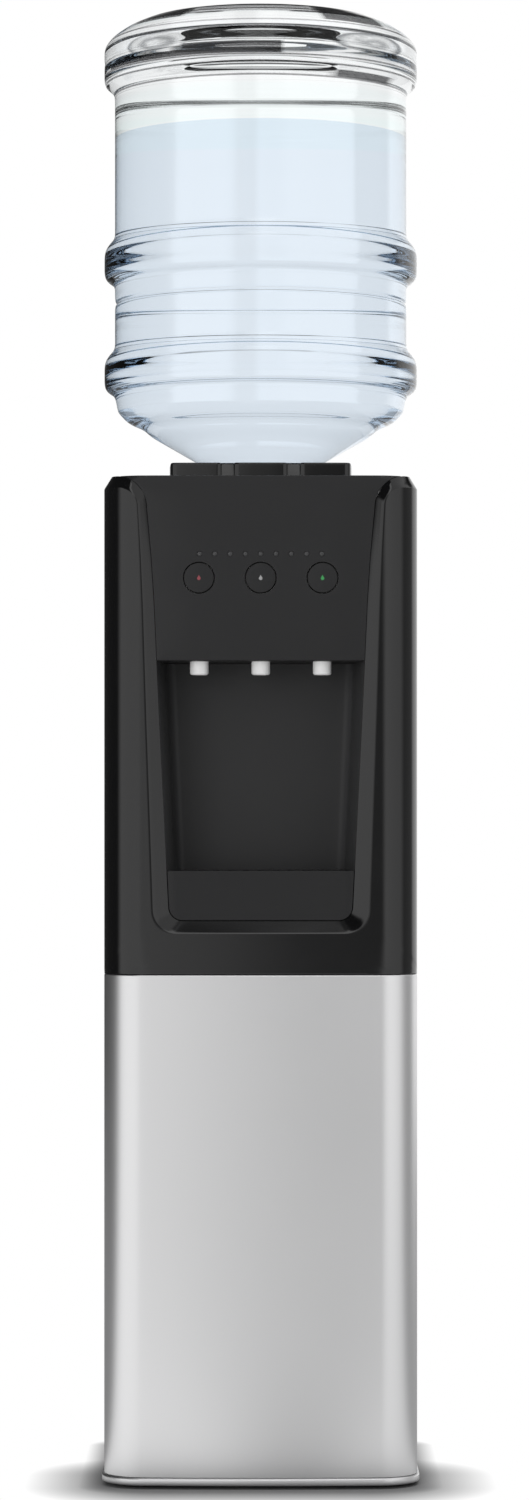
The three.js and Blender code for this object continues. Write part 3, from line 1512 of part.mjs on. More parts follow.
// Condenser, one serpentine tube with wires welded along both of its faces
const serpentine = [];
const condenserTop = condenserBottom + condenserPitch * (condenserRuns - 1);
for (let run = 0; run < condenserRuns; run += 1) {
  const level = condenserBottom + run * condenserPitch;
  const side = run % 2 === 0 ? 1 : -1;
  serpentine.push([-side * condenserHalfWidth, condenserReach, level]);
  serpentine.push([side * condenserHalfWidth, condenserReach, level]);
}
const lastSide = condenserRuns % 2 === 0 ? -1 : 1;
serpentine[0][0] = -(condenserHalfWidth + condenserStub);
serpentine.at(-1)[0] = lastSide * (condenserHalfWidth + condenserStub);
const condenserTubeShape = pipe(serpentine, condenserTube, condenserPitch / 2 - seatGap, pipeSides);
const wires = [];
for (let spot = 0; spot < condenserWireCount; spot += 1) {
  const share = (spot / (condenserWireCount - 1)) * 2 - 1;
  const x = share * (condenserHalfWidth - condenserPitch / 2);
  const side = spot % 2 === 0 ? -1 : 1;
  const inner = condenserReach + side * (condenserTube - condenserWireBite);
  const outer = inner + side * condenserWire * 2;
  const edges = [Math.min(inner, outer), Math.max(inner, outer)];
  const low = condenserBottom - condenserTabInset;
  const high = condenserTop + condenserTabInset;
  wires.push(block(x - condenserWire, x + condenserWire, ...edges, low, high));
}
const tabs = [-1, 1].map((side) => {
  const middle = side * (condenserHalfWidth - condenserPitch / 2);
  const low = backY + sheetWall + seatGap;
  const level = condenserTop + condenserTabInset;
  const base = level - condenserTabWall;
  return block(middle - condenserTab / 2, middle + condenserTab / 2, low, condenserReach, base, level);
});
piece("condenser", shapeOf(joined(condenserTubeShape, ...wires, ...tabs)), compressorBlack);

// Refrigerant pipes between the compressor, the condenser and the cold tank's jacket
const stubTop = potTop + stubLength + seatGap;
const condenserEnd = condenserHalfWidth + condenserStub + seatGap;
piece("discharge_pipe", pipe([
  [stubSpread, compressorSetback, stubTop],
  [stubSpread, compressorSetback, riserHeight],
  [dischargeSide, compressorSetback, riserHeight],
  [dischargeSide, condenserReach, riserHeight],
  [dischargeSide, condenserReach, condenserTop],
  [condenserEnd, condenserReach, condenserTop],
], refrigerantRadius, capillaryBend), copper);
piece("suction_pipe", pipe([
  [-stubSpread, compressorSetback, stubTop],
  [-stubSpread, compressorSetback, riserHeight],
  [-suctionSide, compressorSetback, riserHeight],
  [-suctionSide, suctionBack, riserHeight],
  [-suctionSide, suctionBack, suctionPortHeight],
  [-suctionSide, coldTankSetback, suctionPortHeight],
  [-(jacketRadius + seatGap), coldTankSetback, suctionPortHeight],
], refrigerantRadius, pipeBend), copper);
const capillaryFace = Math.sqrt(jacketRadius ** 2 - (capillaryPortBack - coldTankSetback) ** 2);
piece("capillary_tube", pipe([
  [-condenserEnd, condenserReach, condenserBottom],
  [-capillarySide, condenserReach, condenserBottom],
  [-capillarySide, capillaryBack, condenserBottom],
  [-capillarySide, capillaryBack, capillaryPortHeight],
  [-capillarySide, capillaryPortBack, capillaryPortHeight],
  [-(capillaryFace + seatGap), capillaryPortBack, capillaryPortHeight],
], capillaryRadius, capillaryBend, fineSides), copper);

// Rear switches: a body in the back panel and a rocker in its pocket
const bodyHalf = switchBodyHeight / 2;
const flangeHalf = switchHalf + switchFlange;
const flangeTall = bodyHalf + switchFlange;
const flangeLow = backY + sheetWall + seatGap;
const flangeHigh = flangeLow + switchFlangeWall;
const switchBody = joined(
  block(-switchHalf, switchHalf, flangeLow - switchDepth, flangeHigh - seatGap, -bodyHalf, bodyHalf),
  block(-flangeHalf, flangeHalf, flangeLow, flangeHigh, -flangeTall, flangeTall),
);
const pocketHalf = rockerWidth / 2 + seatGap;
const pocketLow = flangeHigh - rockerPocketDepth;
const pocketHigh = flangeHigh + cutOverrun;
const pocket = block(-pocketHalf, pocketHalf, pocketLow, pocketHigh, -rockerPocket, rockerPocket);
const switchShape = shapeOf(cut(switchBody, pocket));
const rockerOutline = [];
for (let step = 0; step <= rockerHubSteps; step += 1) {
  const angle = Math.PI + (step / rockerHubSteps) * Math.PI;
  rockerOutline.push([rockerHub * Math.cos(angle), rockerHub * Math.sin(angle)]);
}
rockerOutline.push([rockerReach, 0], [rockerReach, rockerEnd], [0, rockerMiddle]);
rockerOutline.push([-rockerReach, rockerEnd], [-rockerReach, 0]);
const rockerShape = prism(
  rockerOutline.map(([x, y]) => new THREE.Vector2(x, y)),
  -rockerWidth / 2,
  rockerWidth / 2,
);
rockerShape.rotateY(Math.PI / 2);
const pivotY = flangeHigh - seatGap * 3;
const switchPlaces = [
  ["hot", -switchSpacing, switchRed],
  ["cold", switchSpacing, switchGreen],
];
for (const [name, x, colour] of switchPlaces) {
  piece(`${name}_switch_body`, switchShape, blackPanel).position.set(x, 0, switchHeight);
  const rocker = piece(`${name}_switch_rocker`, rockerShape, colour);
  rocker.position.set(x, pivotY, switchHeight);
  rocker.rotation.x = THREE.MathUtils.degToRad(rockerTilt);
}

// Cord gland clamped through the back panel
const glandLow = backY - seatGap;
const glandHigh = backY + sheetWall + seatGap;
piece("cord_gland", shapeOf(joined(
  standBack(tube(glandBore, glandBody, glandLow - glandNut, glandHigh + glandOut, smallFacets)),
  standBack(tube(glandBore, glandRadius, glandLow - glandNut, glandLow, smallFacets)),
  standBack(tube(glandBore, glandRadius, glandHigh, glandHigh + glandOut, smallFacets)),
)), blackRubber).position.set(-glandSide, 0, glandHeight);

export default dispenser;
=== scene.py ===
# Free-standing water dispenser with an upturned clear bottle: its looks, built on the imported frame
import math
import bmesh
import bpy
import numpy as np
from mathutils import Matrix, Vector
from mathutils.geometry import delaunay_2d_cdt


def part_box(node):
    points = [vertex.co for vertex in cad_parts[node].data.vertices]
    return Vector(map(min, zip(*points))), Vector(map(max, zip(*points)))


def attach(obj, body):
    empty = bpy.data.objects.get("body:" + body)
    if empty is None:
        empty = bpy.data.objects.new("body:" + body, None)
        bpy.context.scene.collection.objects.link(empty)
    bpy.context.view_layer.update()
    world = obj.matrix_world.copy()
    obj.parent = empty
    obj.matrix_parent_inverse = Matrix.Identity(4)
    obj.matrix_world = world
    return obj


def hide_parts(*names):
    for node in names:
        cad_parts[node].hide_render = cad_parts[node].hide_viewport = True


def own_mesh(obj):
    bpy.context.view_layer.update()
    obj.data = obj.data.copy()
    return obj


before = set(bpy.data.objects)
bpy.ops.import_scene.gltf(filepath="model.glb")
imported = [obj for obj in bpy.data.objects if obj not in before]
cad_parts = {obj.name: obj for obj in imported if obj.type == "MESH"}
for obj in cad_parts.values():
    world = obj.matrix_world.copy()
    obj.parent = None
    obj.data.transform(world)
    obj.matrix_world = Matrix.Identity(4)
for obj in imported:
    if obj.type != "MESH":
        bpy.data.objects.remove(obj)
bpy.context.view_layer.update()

# Sizes of the cabinet in millimetres, as in the part's source
MM = 0.001
HALF, REACH, BOW, CORNER = 135.0, 143.0, 1700.0, 34.5
BOW_Y = BOW - REACH
CORNER_X = HALF - CORNER
CORNER_Y = BOW_Y - math.sqrt((BOW - CORNER) ** 2 - CORNER_X ** 2)
TURN = math.atan2(CORNER_X, BOW_Y - CORNER_Y)
SEAM_Y = -100.0
BOW_RUN = BOW * TURN
CORNER_RUN = CORNER * (math.pi / 2 - TURN)
END_RUN = BOW_RUN + CORNER_RUN + SEAM_Y - CORNER_Y
TOP, CHAMFER_Z, CHAMFER_RUN = 868.0, 857.5, 6.5
BAND_LOW, BAND_HIGH = 439.85, 440.15
PANEL_Y, HOOD_Z = -134.3, 708.9
OUTER = dict(bottom=475.6, foot=91.4, head=105.0, corner=20.0, flare=17.0, top=857.5)
INNER = dict(bottom=485.7, foot=78.7, head=97.9, corner=12.5, flare=28.0, top=868.0)
SIDE_RISE = [0, 0.25, 0.5, 0.77, 0.88, 1]
SIDE_SPREAD = [0, 0.22, 0.45, 0.67, 0.8, 1]
OUTLETS = {"hot": -53.0, "ambient": 0.0, "cold": 53.0}
BUTTON_Z, WINDOW_Z, OUTLET_Y, TRAVEL = 780.0, 800.6, -108.0, 4.0
BACK_Y = 113.0


# ---------------------------------------------------------------- surfaces worked out as arrays
def sheet(points, close_rows=False, close_columns=False):
    """A grid of points with a four-cornered face between each pair of neighbouring rows and columns."""
    rows, columns = points.shape[:2]
    i, j = np.meshgrid(
        np.arange(rows if close_rows else rows - 1),
        np.arange(columns if close_columns else columns - 1),
        indexing="ij",
    )
    i, j = i.ravel(), j.ravel()
    below, right = (i + 1) % rows, (j + 1) % columns
    quads = [i * columns + j, i * columns + right, below * columns + right, below * columns + j]
    return points.reshape(-1, points.shape[2]), np.stack(quads, 1)


def cap(loop):
    """One flat face over a closed outline."""
    return loop, np.arange(len(loop))[None, :]


def soften(points, radius, steps=4, closed=False):
    """Rounds the corners of a path: each corner becomes the parabola between the spots that lie one
    radius, or at most 0.45 of the leg, before and after it."""
    points = np.asarray(points, float)
    before = np.roll(points, 1, 0) - points
    after = np.roll(points, -1, 0) - points
    length_before = np.linalg.norm(before, axis=1, keepdims=True)
    length_after = np.linalg.norm(after, axis=1, keepdims=True)
    radius = np.broadcast_to(np.asarray(radius, float).reshape(-1, 1), (len(points), 1))
    start = points + before * np.minimum(0.45, radius / np.maximum(length_before, 1e-9))
    end = points + after * np.minimum(0.45, radius / np.maximum(length_after, 1e-9))
    t = np.linspace(0, 1, steps + 1)[None, :, None]
    arcs = (1 - t) ** 2 * start[:, None] + 2 * t * (1 - t) * points[:, None] + t ** 2 * end[:, None]
    if closed:
        return arcs.reshape(-1, points.shape[1])
    inner = arcs[1:-1].reshape(-1, points.shape[1])
    return np.concatenate([points[:1], inner, points[-1:]])


def inset(loop, distance):
    """Moves a closed anticlockwise outline inwards, each corner along the mean of its edges' normals."""
    before = loop - np.roll(loop, 1, 0)
    after = np.roll(loop, -1, 0) - loop
    normals = [np.stack([-edge[:, 1], edge[:, 0]], 1) for edge in (before, after)]
    first, second = [n / np.maximum(np.linalg.norm(n, axis=1, keepdims=True), 1e-9) for n in normals]
    middle = first + second
    middle /= np.maximum(np.linalg.norm(middle, axis=1, keepdims=True), 1e-9)
    stretch = distance / np.maximum(0.4, (middle * second).sum(1, keepdims=True))
    return loop + middle * stretch


def pierced(loops):
    """Flat triangles between outlines: those whose middle lies inside an odd number of them."""
    starts = np.cumsum([0] + [len(loop) for loop in loops])
    edges = np.concatenate([
        np.stack([np.arange(len(loop)), (np.arange(len(loop)) + 1) % len(loop)], 1) + start
        for loop, start in zip(loops, starts)
    ])
    points = np.concatenate(loops)
    corners, _, faces, *_ = delaunay_2d_cdt([Vector(p) for p in points], edges.tolist(), [], 0, 1e-5)
    corners, faces = np.array(corners), np.array(faces)
    middle = corners[faces].mean(1)
    a, b = points[edges[:, 0]], points[edges[:, 1]]
    x, y = middle[:, :1], middle[:, 1:]
    spans = (a[:, 1] > y) != (b[:, 1] > y)
    rise = np.where(a[:, 1] == b[:, 1], 1, b[:, 1] - a[:, 1])
    crossed = spans & (x < a[:, 0] + (y - a[:, 1]) * (b[:, 0] - a[:, 0]) / rise)
    return corners, faces[crossed.sum(1) % 2 == 1]


def level(flat, height):
    """Plan points lifted to a height."""
    return np.concatenate([flat, np.full((len(flat), 1), float(height))], 1)


def upright(flat, y):
    """Front view points, across and up, stood at a depth."""
    return np.stack([flat[:, 0], np.full(len(flat), float(y)), flat[:, 1]], 1)


def spread(shape, place, value):
    """A flat net of triangles set at a height or a depth."""
    return place(shape[0], value), shape[1]


def wrap(*rings):
    """Rings of one point count joined in order."""
    return sheet(np.stack(rings), close_columns=True)


def tube(rings):
    """A grid whose columns close on themselves, with flat ends."""
    return [sheet(rings, close_columns=True), cap(rings[0]), cap(rings[-1])]


def web(loops, place, *values):
    """The flat net between outlines, once at each height or depth."""
    return [spread(pierced(loops), place, value) for value in values]


def walls(loops, place, low, high):
    """Straight walls along outlines from one height or depth to another."""
    return [wrap(place(loop, low), place(loop, high)) for loop in loops]


def pierced_plate(loops, place, low, high):
    """A flat plate with holes: its two faces and the walls along its outlines."""
    return web(loops, place, low, high) + walls(loops, place, low, high)


def circle(radius, x=0.0, y=0.0, steps=48):
    """Evenly spaced points round a circle, anticlockwise."""
    a = np.linspace(0, 2 * math.pi, steps, endpoint=False)
    return np.stack([x + radius * np.cos(a), y + radius * np.sin(a)], 1)


def turned(profile, centre=(0, 0, 0), axis="z", steps=64, closed=False):
    """A profile of radius and height carried round an axis through the centre."""
    profile = np.asarray(profile, float)
    a = np.linspace(0, 2 * math.pi, steps, endpoint=False)
    across = profile[:, :1] * np.cos(a)
    aside = profile[:, :1] * np.sin(a)
    along = np.broadcast_to(profile[:, 1:], across.shape)
    order = [across, aside, along] if axis == "z" else [across, along, aside]
    points = np.stack(order, -1) + np.asarray(centre, float)
    return sheet(points, close_rows=closed, close_columns=True)


def fan(loop):
    """The flat net inside one outline."""
    return pierced([loop])


def prism(loop, low, high, place=level, edge=0.5, face=fan):
    """A closed outline carried straight from low to high, its rims rounded by a quarter circle."""
    a = np.linspace(0, math.pi / 2, 4)
    shrink = edge * (1 - np.sin(a))
    steps = [(s, low + edge * (1 - np.cos(t))) for s, t in zip(shrink, a)]
    steps += [(s, high - edge * (1 - np.cos(t))) for s, t in zip(shrink[::-1], a[::-1])]
    rings = np.stack([place(inset(loop, s), h) for s, h in steps])
    ends = [spread(face(inset(loop, edge)), place, h) for h in (low, high)]
    return [sheet(rings, close_columns=True)] + ends


def box(x0, x1, y0, y1, z0, z1, edge=0.4):
    """A block with rounded corners and rims."""
    loop = soften([[x0, y0], [x1, y0], [x1, y1], [x0, y1]], edge, 3, True)
    return prism(loop, z0, z1, edge=edge * 0.5)


def bent_path(legs, bend, steps=8):
    """Straight legs joined by circular arcs of one radius, as points with their headings."""
    legs = np.asarray(legs, float)
    run = np.diff(legs, axis=0)
    run /= np.linalg.norm(run, axis=1, keepdims=True)
    if len(legs) == 2:
        return legs, run[[0, 0]]
    before, after = run[:-1], run[1:]
    turn = np.arccos(np.clip((before * after).sum(1, keepdims=True), -1, 1))
    side = after - before * (before * after).sum(1, keepdims=True)
    side /= np.linalg.norm(side, axis=1, keepdims=True)
    entry = legs[1:-1] - before * bend * np.tan(turn / 2)
    angle = turn[:, None] * np.linspace(0, 1, steps + 1)[None, :, None]
    arcs = entry[:, None] + bend * (before[:, None] * np.sin(angle) + side[:, None] * (1 - np.cos(angle)))
    heads = before[:, None] * np.cos(angle) + side[:, None] * np.sin(angle)
    points = np.concatenate([legs[:1], arcs.reshape(-1, 3), legs[-1:]])
    return points, np.concatenate([run[:1], heads.reshape(-1, 3), run[-1:]])


def pipe(legs, radius, bend, sides=16, steps=8):
    """A round section carried along a bent path, with flat ends."""
    points, heads = bent_path(legs, bend, steps)
    across = np.cross(heads, np.array([0.36, 0.48, 0.8]))
    across /= np.linalg.norm(across, axis=1, keepdims=True)
    aside = np.cross(heads, across)
    a = np.linspace(0, 2 * math.pi, sides, endpoint=False)[None, :, None]
    rings = points[:, None] + radius * (across[:, None] * np.cos(a) + aside[:, None] * np.sin(a))
    return tube(rings)


def make(name, parts, finish, slot, body, nodes, crease=38, weld=0.004):
    """Joins nets into one mesh in metres, merges corners closer than the weld in millimetres, turns
    the faces outwards and keeps the edges sharp that turn by more than the crease in degrees."""
    starts = np.cumsum([0] + [len(points) for points, _ in parts])
    faces = [face for (_, net), start in zip(parts, starts) for face in (np.asarray(net) + start).tolist()]
    mesh = bpy.data.meshes.new(name)
    mesh.from_pydata((np.concatenate([points for points, _ in parts]) * MM).tolist(), [], faces)
    work = bmesh.new()
    work.from_mesh(mesh)
    bmesh.ops.remove_doubles(work, verts=work.verts, dist=weld * MM)
    bmesh.ops.dissolve_degenerate(work, edges=work.edges, dist=1e-7)
    bmesh.ops.recalc_face_normals(work, faces=work.faces)
    work.to_mesh(mesh)
    work.free()
    mesh.polygons.foreach_set("use_smooth", np.ones(len(mesh.polygons), bool))
    mesh.set_sharp_from_angle(angle=math.radians(crease))
    mesh.materials.append(finish)
    piece = bpy.data.objects.new(name, mesh)
    bpy.context.scene.collection.objects.link(piece)
    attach(piece, body)
    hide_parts(*nodes)
    return piece


# ---------------------------------------------------------------- shader expressions
class Value:
    """One output socket that adds Math nodes when it stands in an expression."""

    def __init__(self, shade, socket):
        self.shade, self.socket = shade, socket

    def math(self, operation, *others):
        """This value and up to two others through one Math node."""
        return self.shade.add("ShaderNodeMath", dict(operation=operation), self, *others)[0]

    def __add__(self, other):
        return self.math("ADD", other)

    def __sub__(self, other):
        return self.math("SUBTRACT", other)

    def __mul__(self, other):
        return self.math("MULTIPLY", other)

    def __truediv__(self, other):
        return self.math("DIVIDE", other)

    def __pow__(self, other):
        return self.math("POWER", other)

    def __rsub__(self, other):
        return self.shade.add("ShaderNodeMath", dict(operation="SUBTRACT"), other, self)[0]

    __radd__ = __add__
    __rmul__ = __mul__

    def above(self, edge, blur):
        """0 below the edge and 1 above it, with a ramp as wide as the blur."""
        return self.shade.add(
            "ShaderNodeMapRange", dict(clamp=True), self, edge - blur / 2, edge + blur / 2, 0.0, 1.0
        )[0]


class Shade:
    """The node tree of one material, or of the world."""

    def __init__(self, name, world=None):
        self.owner = world or bpy.data.materials.new(name)
        self.owner.use_nodes = True
        self.tree = self.owner.node_tree
        self.tree.nodes.clear()

    def add(self, kind, settings=None, *values, **named):
        """Adds one node: its settings first, then the values or links of its sockets."""
        node = self.tree.nodes.new(kind)
        for key, value in (settings or {}).items():
            if key == "stops":
                ramp = node.color_ramp
                while len(ramp.elements) < len(value):
                    ramp.elements.new(0.5)
                for element, (spot, colour) in zip(ramp.elements, value):
                    element.position = spot
                    element.color = (*colour, 1) if isinstance(colour, tuple) else (colour,) * 3 + (1,)
            else:
                setattr(node, key, value)
        pairs = list(enumerate(values)) + [(key.replace("_", " "), value) for key, value in named.items()]
        for key, value in pairs:
            socket = node.inputs[key]
            if isinstance(value, Value):
                self.tree.links.new(value.socket, socket)
            else:
                socket.default_value = (*value, 1) if socket.type == "RGBA" and len(value) == 3 else value
        return [Value(self, socket) for socket in node.outputs]

    def place(self):
        """Object coordinates in metres."""
        return self.add("ShaderNodeTexCoord")[3]

    def apart(self, vector):
        """The three values of a vector."""
        return self.add("ShaderNodeSeparateXYZ", None, vector)

    def noise(self, scale, detail=3.0, stretch=None):
        """Soft noise of a scale per metre, pulled along an axis where the stretch is below 1."""
        vector = self.place()
        if stretch:
            vector = self.add("ShaderNodeVectorMath", dict(operation="MULTIPLY"), vector, stretch)[0]
        return self.add("ShaderNodeTexNoise", None, Vector=vector, Scale=scale, Detail=detail)[0]

    def mix(self, share, first, second):
        """First colour where the share is 0, second where it is 1."""
        node = self.tree.nodes.new("ShaderNodeMix")
        node.data_type = "RGBA"
        for spot, value in ((0, share), (6, first), (7, second)):
            if isinstance(value, Value):
                self.tree.links.new(value.socket, node.inputs[spot])
            elif spot:
                node.inputs[spot].default_value = (*value, 1)
            else:
                node.inputs[spot].default_value = value
        return Value(self, node.outputs[2])

    def bump(self, height, strength, distance):
        """A normal tilted by the slope of a height."""
        return self.add("ShaderNodeBump", None, Strength=strength, Distance=distance, Height=height)[0]

    def surface(self, **sockets):
        """Ends the tree in one Principled shader and gives back the material."""
        shader = self.add("ShaderNodeBsdfPrincipled", None, **sockets)[0]
        self.add("ShaderNodeOutputMaterial", None, Surface=shader)
        return self.owner


def moulded(name, dark, light, rough, grain, grain_depth, specular=0.5):
    """Moulded plastic: slow drift of tone, a fine spark-eroded grain and patchy gloss."""
    shade = Shade(name)
    drift = shade.noise(9.0, 4.0)
    fine = shade.noise(grain, 2.0)
    patch = shade.noise(45.0, 3.0)
    return shade.surface(
        Base_Color=shade.mix(drift, dark, light),
        Roughness=patch * 0.08 + fine * 0.05 + (rough - 0.065),
        Specular_IOR_Level=specular,
        Normal=shade.bump(fine, grain_depth, 0.0002),
    )


def metal(name, first, second, rough, grain, grain_depth, stretch=(1, 1, 1)):
    """Metal or metallic paint: grain pulled along one way, with drifting tone and gloss."""
    shade = Shade(name)
    streak = shade.noise(grain, 3.0, stretch=stretch)
    drift = shade.noise(6.0, 3.0)
    return shade.surface(
        Base_Color=shade.mix(streak * 0.6 + drift * 0.4, first, second),
        Metallic=1.0,
        Roughness=streak * 0.07 + drift * 0.06 + (rough - 0.065),
        Normal=shade.bump(streak, grain_depth, 0.0001),
    )


def clear(name, tint, deep, index, zone=None, painted_dark_bands=(), painted_streaks=()):
    """Clear material: faint flow lines drift its tint and ripple its face. A zone between two heights
    in metres may carry a tint of its own. Each painted dark band darkens the plastic between two heights
    in millimetres and two angles in degrees round the axis, 0 towards the front, with the blur of its
    ends and its grey: painted reflection of dark surroundings. Each painted streak is a set of dark rings
    round an angle and a height, as wide in degrees and as tall in millimetres as its last two values:
    painted streaks of the light that the thick plastic bends and reflects."""
    shade = Shade(name)
    flow = shade.noise(14.0, 2.0, stretch=(1, 1, 0.25))
    colour = shade.mix(flow, tint, deep)
    if zone:
        low, high, own = zone
        z = shade.apart(shade.place())[2]
        colour = shade.mix(z.above(low, 0.002) - z.above(high, 0.006), colour, own)
    if painted_dark_bands:
        x, y, z = shade.apart(shade.place())
        turn = x.math("ARCTAN2", y * -1.0) / math.radians(1)
        # painted reflection: each band darkens the rim's thick plastic, in front only, for the dark it
        # reflects
        for low, high, left, right, blur, grey in painted_dark_bands:
            painted_band = z.above(low * MM, 0.0006) - z.above(high * MM, 0.0006)
            sweep = turn.above(left, blur) - turn.above(right, blur)
            colour = shade.mix(painted_band * sweep, colour, (grey, grey, grey * 1.04))
        # painted light: dark rings at each end of the rim for the streaks its thick plastic bends and
        # reflects
        for spot, middle, wide, tall in painted_streaks:
            aside, over = (turn - spot) / wide, (z - middle * MM) / (tall * MM)
            away = (aside * aside + over * over) ** 0.5
            rings = (away * 8.5 + flow * 12.0).math("SINE") * 0.3 + away * 0.3 + 0.35
            colour = shade.mix((1 - away.above(1.0, 0.12)) * rings, colour, (0.02, 0.027, 0.036))
    return shade.surface(
        Base_Color=colour,
        Roughness=0.0,
        IOR=index,
        Transmission_Weight=1.0,
        Normal=shade.bump(flow, 0.05, 0.0006),
    )


def liner_with_painted_side_light():
    """Matte black liner whose side walls are painted a shade paler than its back wall: painted light, for the
    light that falls on them.
    """
    shade = Shade("matte black liner")
    fine = shade.noise(1200, 2.0)
    painted_side_light = shade.apart(shade.add("ShaderNodeNewGeometry")[1])[0].math("ABSOLUTE")
    plain = shade.mix(shade.noise(9.0), (0.022, 0.022, 0.0225), (0.027, 0.027, 0.0275))
    return shade.surface(
        # painted light: walls that face sideways get a paler colour, as if lit
        Base_Color=shade.mix(painted_side_light.above(0.55, 0.9), plain, (0.05, 0.05, 0.051)),
        Roughness=fine * 0.05 + 0.47,
        Specular_IOR_Level=0.3,
        Normal=shade.bump(fine, 0.1, 0.0002),
    )


# Moulded: name, two shades, roughness, grain per metre, its depth and the specular level, else 0.5
# Metal: name, two shades, roughness, grain per metre, its depth and, where it is drawn, its stretch
black_shell = moulded("black moulded shell", (0.002, 0.002, 0.0022), (0.003, 0.003, 0.0033), 0.13, 1500, 0.05)
seat_black = moulded("gloss black seat", (0.001, 0.001, 0.0011), (0.002, 0.002, 0.0022), 0.16, 1700, 0.03)
black_panel = moulded("satin black panel", (0.013, 0.013, 0.0135), (0.016, 0.016, 0.0165),
                      0.4, 1800, 0.03, 0.25)
alcove_black = liner_with_painted_side_light()
tray_black = moulded("satin black tray", (0.011, 0.011, 0.0115), (0.014, 0.014, 0.0145),
                     0.4, 1300, 0.08, 0.25)
silver = metal("silver metallic paint", (0.69, 0.69, 0.695), (0.75, 0.75, 0.755), 0.36, 1600, 0.04)
white_plastic = moulded("satin white plastic", (0.78, 0.78, 0.77), (0.84, 0.84, 0.83), 0.35, 1400, 0.05)
rubber = moulded("black rubber", (0.012, 0.012, 0.012), (0.02, 0.02, 0.02), 0.75, 900, 0.3)
sheet_steel = metal("galvanised sheet", (0.4, 0.41, 0.42), (0.52, 0.53, 0.54), 0.42, 60, 0.1)
tank_steel = metal("satin stainless", (0.5, 0.51, 0.52), (0.62, 0.63, 0.64), 0.3, 300, 0.1, (1, 1, 12))
foam = moulded("grey foam", (0.6, 0.57, 0.5), (0.72, 0.69, 0.62), 0.9, 420, 0.6)
hose_clear = moulded("milky hose", (0.72, 0.74, 0.72), (0.82, 0.83, 0.81), 0.35, 500, 0.1)
copper = metal("drawn copper", (0.48, 0.21, 0.12), (0.66, 0.33, 0.2), 0.3, 240, 0.1, (1, 1, 0.2))
compressor_black = moulded("black enamel", (0.012, 0.012, 0.013), (0.02, 0.02, 0.021), 0.3, 260, 0.25)
board_green = moulded("coated board", (0.03, 0.12, 0.06), (0.05, 0.18, 0.09), 0.4, 700, 0.2)
window_grey = moulded("smoked window", (0.03, 0.03, 0.031), (0.042, 0.042, 0.043), 0.3, 900, 0.05)
switch_red = moulded("red switch", (0.35, 0.03, 0.02), (0.42, 0.05, 0.035), 0.25, 900, 0.05)
switch_green = moulded("green switch", (0.03, 0.2, 0.06), (0.05, 0.27, 0.09), 0.25, 900, 0.05)
cap_blue = moulded("blue cap", (0.1, 0.26, 0.5), (0.14, 0.33, 0.6), 0.4, 600, 0.1)

# The bottle's rim: painted dark bands and streak rings standing in for its reflections and bent light
RIM_PAINTED_BANDS = [
    (1261, 1279, 24, 54, 3, 0.04), (1266, 1279, -62, -32, 4, 0.04), (1275.5, 1279, -32, 24, 3, 0.2),
    (1229.5, 1235, -72, 8, 2, 0.015), (1235, 1240.2, -30, 8, 2, 0.025), (1242.5, 1249, -15, 17, 2, 0.01),
    (1251.5, 1254.5, -70, 70, 20, 0.1), (1258.4, 1259.8, -75, 75, 10, 0.3), (1228, 1229.5, -85, 85, 10, 0.08),
    (1221.6, 1223, -85, 85, 10, 0.08), (1211.8, 1213.4, -85, 85, 10, 0.12), (1213, 1218.8, 28, 60, 6, 0.03),
]
RIM_PAINTED_STREAKS = [(-42, 1243.5, 15, 8.5), (45, 1243.5, 18, 8.5)]
bottle_clear = clear("clear bottle", (0.985, 0.995, 1.0), (0.98, 0.99, 0.995), 1.34,
                     (1.176, 1.206, (0.92, 1.0, 1.0)), RIM_PAINTED_BANDS, RIM_PAINTED_STREAKS)
bottle_inside = clear("clear bottle inside", (1.0, 1.0, 1.0), (0.99, 1.0, 1.0), 1.0)
water_clear = clear("water", (0.8, 0.868, 0.945), (0.79, 0.86, 0.94), 1.0,
                    (1.15, 1.2, (0.785, 0.855, 0.935)))


# ---------------------------------------------------------------- the cabinet's shell
def front(run, height, shrink=0.0):
    """The front shell by its run from the middle: a shallow bow, then a round corner, then straight
    back along the side. The shrink moves it inwards along its own normal."""
    run, height, shrink = np.broadcast_arrays(run, np.asarray(height, float), np.asarray(shrink, float))
    away, side = np.abs(run), np.sign(run)
    on_bow = away <= BOW_RUN
    turn = np.where(on_bow, away / BOW, np.minimum(math.pi / 2, TURN + (away - BOW_RUN) / CORNER))
    radius = np.where(on_bow, BOW, CORNER) - shrink
    x = np.where(on_bow, 0, CORNER_X) + radius * np.sin(turn)
    y = np.where(on_bow, BOW_Y, CORNER_Y) - radius * np.cos(turn)
    return np.stack([side * x, y + np.maximum(0, away - BOW_RUN - CORNER_RUN), height], -1)


def run_at(x):
    """The run from the middle at which the front shell passes a distance across."""
    side = np.abs(x)
    turn = np.arcsin(np.clip((side - CORNER_X) / CORNER, -1, 1))
    on_bow = side <= BOW * math.sin(TURN)
    return np.sign(x) * np.where(on_bow, BOW * np.arcsin(side / BOW), BOW_RUN + CORNER * (turn - TURN))


def shell_reach(x, shrink=0.0):
    """How far forward the front shell stands at a distance across."""
    side = np.abs(x)
    bow = np.sqrt((BOW - shrink) ** 2 - side ** 2) - BOW_Y
    corner = np.sqrt(np.maximum((CORNER - shrink) ** 2 - (side - CORNER_X) ** 2, 0)) - CORNER_Y
    return np.where(side <= (BOW - shrink) * math.sin(TURN), bow, corner)


def chamfer(z):
    """How far the shell is drawn in at a height, none below the top chamfer."""
    return np.maximum(0, (z - CHAMFER_Z) / (TOP - CHAMFER_Z)) * CHAMFER_RUN


half_runs = np.concatenate([
    np.linspace(0, BOW_RUN, 15),
    BOW_RUN + CORNER_RUN * np.linspace(0, 1, 25)[1:],
    [END_RUN],
])
RUNS = np.concatenate([-half_runs[:0:-1], half_runs])


